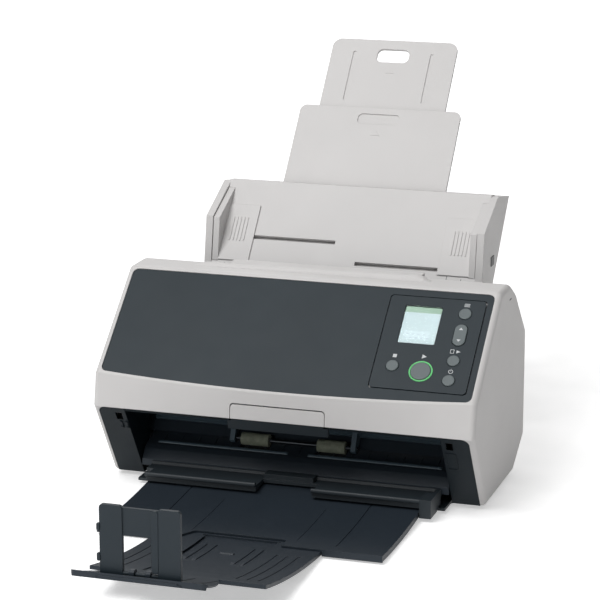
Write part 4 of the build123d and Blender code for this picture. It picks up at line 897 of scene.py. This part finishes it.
def lock_slot():
    """Slot for a cable lock, with a raised border."""
    slot = Piece("lock_slot")
    outer = rounded(-140.0, -129.0, 62.0, 68.0, 1.5)
    inner = rounded(-138.3, -130.7, 63.4, 66.6, 0.8)
    filled = rounded(-138.4, -130.6, 63.3, 66.7, 0.8)
    border_height, floor_height = 0.4, 0.05
    slot.frame(on_rear, outer, inner, -REAR_SUNK, border_height)
    slot.prism(on_rear, filled, -REAR_SUNK, floor_height)
    slot.finish("base", "steel", "black_plastic")


def pan_ribs():
    """Row of stiffening ribs under the base."""
    ribs = Piece("pan_ribs")
    half, front, rear, height = 0.8, 76.0, 128.0, 1.2
    for x in evenly(first=-100.0, pitch=25.0, count=9):
        ribs.prism(under_pan, rectangle(x - half, x + half, front, rear), -PAN_SUNK, height)
    ribs.finish("base", "dark_plastic")


def pan_screws():
    """Two rows of screw heads under the base."""
    screws = Piece("pan_screws")
    for x in (-106.0, 6.0, 118.0):
        for y in (78.0, 126.0):
            screw_head(screws, under_pan, x, y, 3.0, 1.0, PAN_SUNK, height=0.9, floor_height=0.4)
    screws.finish("base", "steel")


def pan_label():
    """Bare plate for a label under the base."""
    label = Piece("pan_label")
    sunk, height = 0.1, 0.15
    label.prism(under_pan, rounded(-40.0, 30.0, 34.0, 62.0, 2.0), -sunk, height)
    label.finish("base", "dark_plastic", "plate_silver")


def board_chips():
    """Large chips on the main board and a row of small ones along its foot."""
    chips = Piece("board_chips")
    # Place across, place up, half width and height
    places = ((-62.0, 66.0, 9.0, 1.6), (-30.0, 74.0, 6.0, 1.4), (4.0, 60.0, 7.5, 1.6),
              (-8.0, 86.0, 4.0, 1.2), (52.0, 84.0, 5.0, 1.2), (-84.0, 46.0, 4.5, 1.2))
    for x, z, half, height in places:
        chip = rectangle(x - half, x + half, z - half, z + half)
        chips.prism(on_board, chip, -BOARD_SUNK, height, soften=0.3)
    half, foot, top, height = 2.0, 40.0, 42.4, 1.0
    for x in evenly(first=-50.0, pitch=12.0, count=6):
        chips.prism(on_board, rectangle(x - half, x + half, foot, top), -BOARD_SUNK, height, soften=0.2)
    chips.finish("base", "black_plastic")


def board_cans():
    """Round capacitors on the main board."""
    cans = Piece("board_cans")
    radius, height, soften = 3.6, 6.0, 0.5
    for x, z in ((78.0, 78.0), (88.0, 78.0), (70.0, 90.0), (-96.0, 62.0)):
        cans.prism(on_board, disc(x, z, radius), -BOARD_SUNK, height, soften)
    cans.finish("base", "steel")


def socket_tongue():
    """Tongue inside the square data socket."""
    tongue = Piece("socket_tongue")
    back, front = -8.0, -2.0
    tongue.prism(on_rear, rectangle(60.2, 63.8, 54.0, 58.0), back, front, soften=0.3)
    tongue.finish("base", "black_plastic")


def socket_contacts():
    """Row of contacts inside the network socket."""
    contacts = Piece("socket_contacts")
    half, foot, top, back, front = 0.3, 58.5, 62.6, -7.5, -4.5
    for x in evenly(first=29.8, pitch=1.2, count=8):
        contacts.prism(on_rear, rectangle(x - half, x + half, foot, top), back, front)
    contacts.finish("base", "steel")


def add_details():
    """Adds every piece that the CAD parts leave out."""
    hood = (console_signs, rocker_arrows, cheek_marks, exit_ribs, exit_strips, rear_lip, hood_marks)
    stacker = (stacker_ribs, channel_ribs, tip_ribs, stopper_edges)
    chute = (chute_marks, chute_catch, guide_grips, extension_arrows)
    rear = (rear_plate, rear_screws, lock_slot)
    underside = (pan_ribs, pan_screws, pan_label)
    inside = (board_chips, board_cans, socket_tongue, socket_contacts)
    for make in hood + stacker + chute + rear + underside + inside:
        make()


# Setting: floor, lamps and camera

def backdrop_material():
    """Pale floor that shows white to the camera, more so far away, and still keeps the object's shadow."""
    nodes = Nodes("backdrop")
    grain = nodes.noise(30.0)
    colour = nodes.ramp(grain, srgb(240, 240, 240), srgb(246, 246, 246))
    rays = nodes.add("ShaderNodeLightPath")
    seen = nodes.math("MAXIMUM", rays.outputs["Is Camera Ray"], rays.outputs["Is Glossy Ray"])
    seen = nodes.math("MAXIMUM", seen, rays.outputs["Is Transmission Ray"])
    distance = nodes.add("ShaderNodeVectorMath", operation="LENGTH")
    nodes.link(nodes.place, distance.inputs[0])
    glow = nodes.spread(distance.outputs["Value"], *FLOOR_GLOW, *FLOOR_GLOW_AT)
    nodes.link(colour, nodes.shader.inputs["Emission Color"])
    nodes.link(nodes.math("MULTIPLY", seen, glow), nodes.shader.inputs["Emission Strength"])
    return nodes.finish(colour, nodes.spread(grain, 0.9, 0.95))


def make_floor():
    """Large pale floor under the feet."""
    mesh = bpy.data.meshes.new("floor")
    corners = [(x, y, 0) for x, y in rectangle(-FLOOR_REACH, FLOOR_REACH, -FLOOR_REACH, FLOOR_REACH)]
    mesh.from_pydata(corners, [], [(0, 1, 2, 3)])
    floor = bpy.data.objects.new("floor", mesh)
    bpy.context.scene.collection.objects.link(floor)
    mesh.materials.append(backdrop_material())


def make_world():
    """Even light from all round, white to the camera and through clear pieces."""
    world = bpy.data.worlds.new("studio")
    bpy.context.scene.world = world
    world.use_nodes = True
    tree = world.node_tree
    background = tree.nodes["Background"]
    background.inputs["Color"].default_value = (1, 1, 1, 1)
    rays = tree.nodes.new("ShaderNodeLightPath")
    seen = tree.nodes.new("ShaderNodeMath")
    seen.operation = "MAXIMUM"
    tree.links.new(rays.outputs["Is Camera Ray"], seen.inputs[0])
    tree.links.new(rays.outputs["Is Transmission Ray"], seen.inputs[1])
    strength = tree.nodes.new("ShaderNodeMapRange")
    strength.inputs["To Min"].default_value = WORLD_LIGHT
    strength.inputs["To Max"].default_value = WORLD_SEEN
    tree.links.new(seen.outputs["Value"], strength.inputs["Value"])
    tree.links.new(strength.outputs["Result"], background.inputs["Strength"])


def area_light(name, place, aim, size, power):
    """Soft square lamp that looks at a point."""
    lamp = bpy.data.lights.new(name, "AREA")
    lamp.size = size
    lamp.energy = power
    light = bpy.data.objects.new(name, lamp)
    light.location = place
    light.rotation_euler = (aim - place).to_track_quat("-Z", "Y").to_euler()
    bpy.context.scene.collection.objects.link(light)


def make_lights():
    """Key lamp from the front left and above, a weak one low in front and another behind."""
    for name, (place, size, power) in LAMPS.items():
        area_light(name, Vector(place), at(*LAMP_AIM), size, power)


def make_camera():
    """Camera at the photograph's viewing angle."""
    target = at(*CAMERA_TARGET)
    away = Vector((
        math.sin(CAMERA_AZIMUTH) * math.cos(CAMERA_ELEVATION),
        -math.cos(CAMERA_AZIMUTH) * math.cos(CAMERA_ELEVATION),
        math.sin(CAMERA_ELEVATION)))
    data = bpy.data.cameras.new("camera")
    data.sensor_width = SENSOR_WIDTH
    data.lens = CAMERA_FOCAL_PIXELS / FRAME_PIXELS * SENSOR_WIDTH
    data.clip_end = CAMERA_CLIP_END
    camera = bpy.data.objects.new("camera", data)
    camera.location = target + away * CAMERA_DISTANCE * MM
    camera.rotation_euler = (-away).to_track_quat("-Z", "Y").to_euler()
    bpy.context.scene.collection.objects.link(camera)
    bpy.context.scene.camera = camera


bpy.context.scene.view_settings.view_transform = "Standard"
make_camera()
make_world()
make_lights()
make_floor()
dress_nodes()
add_details()
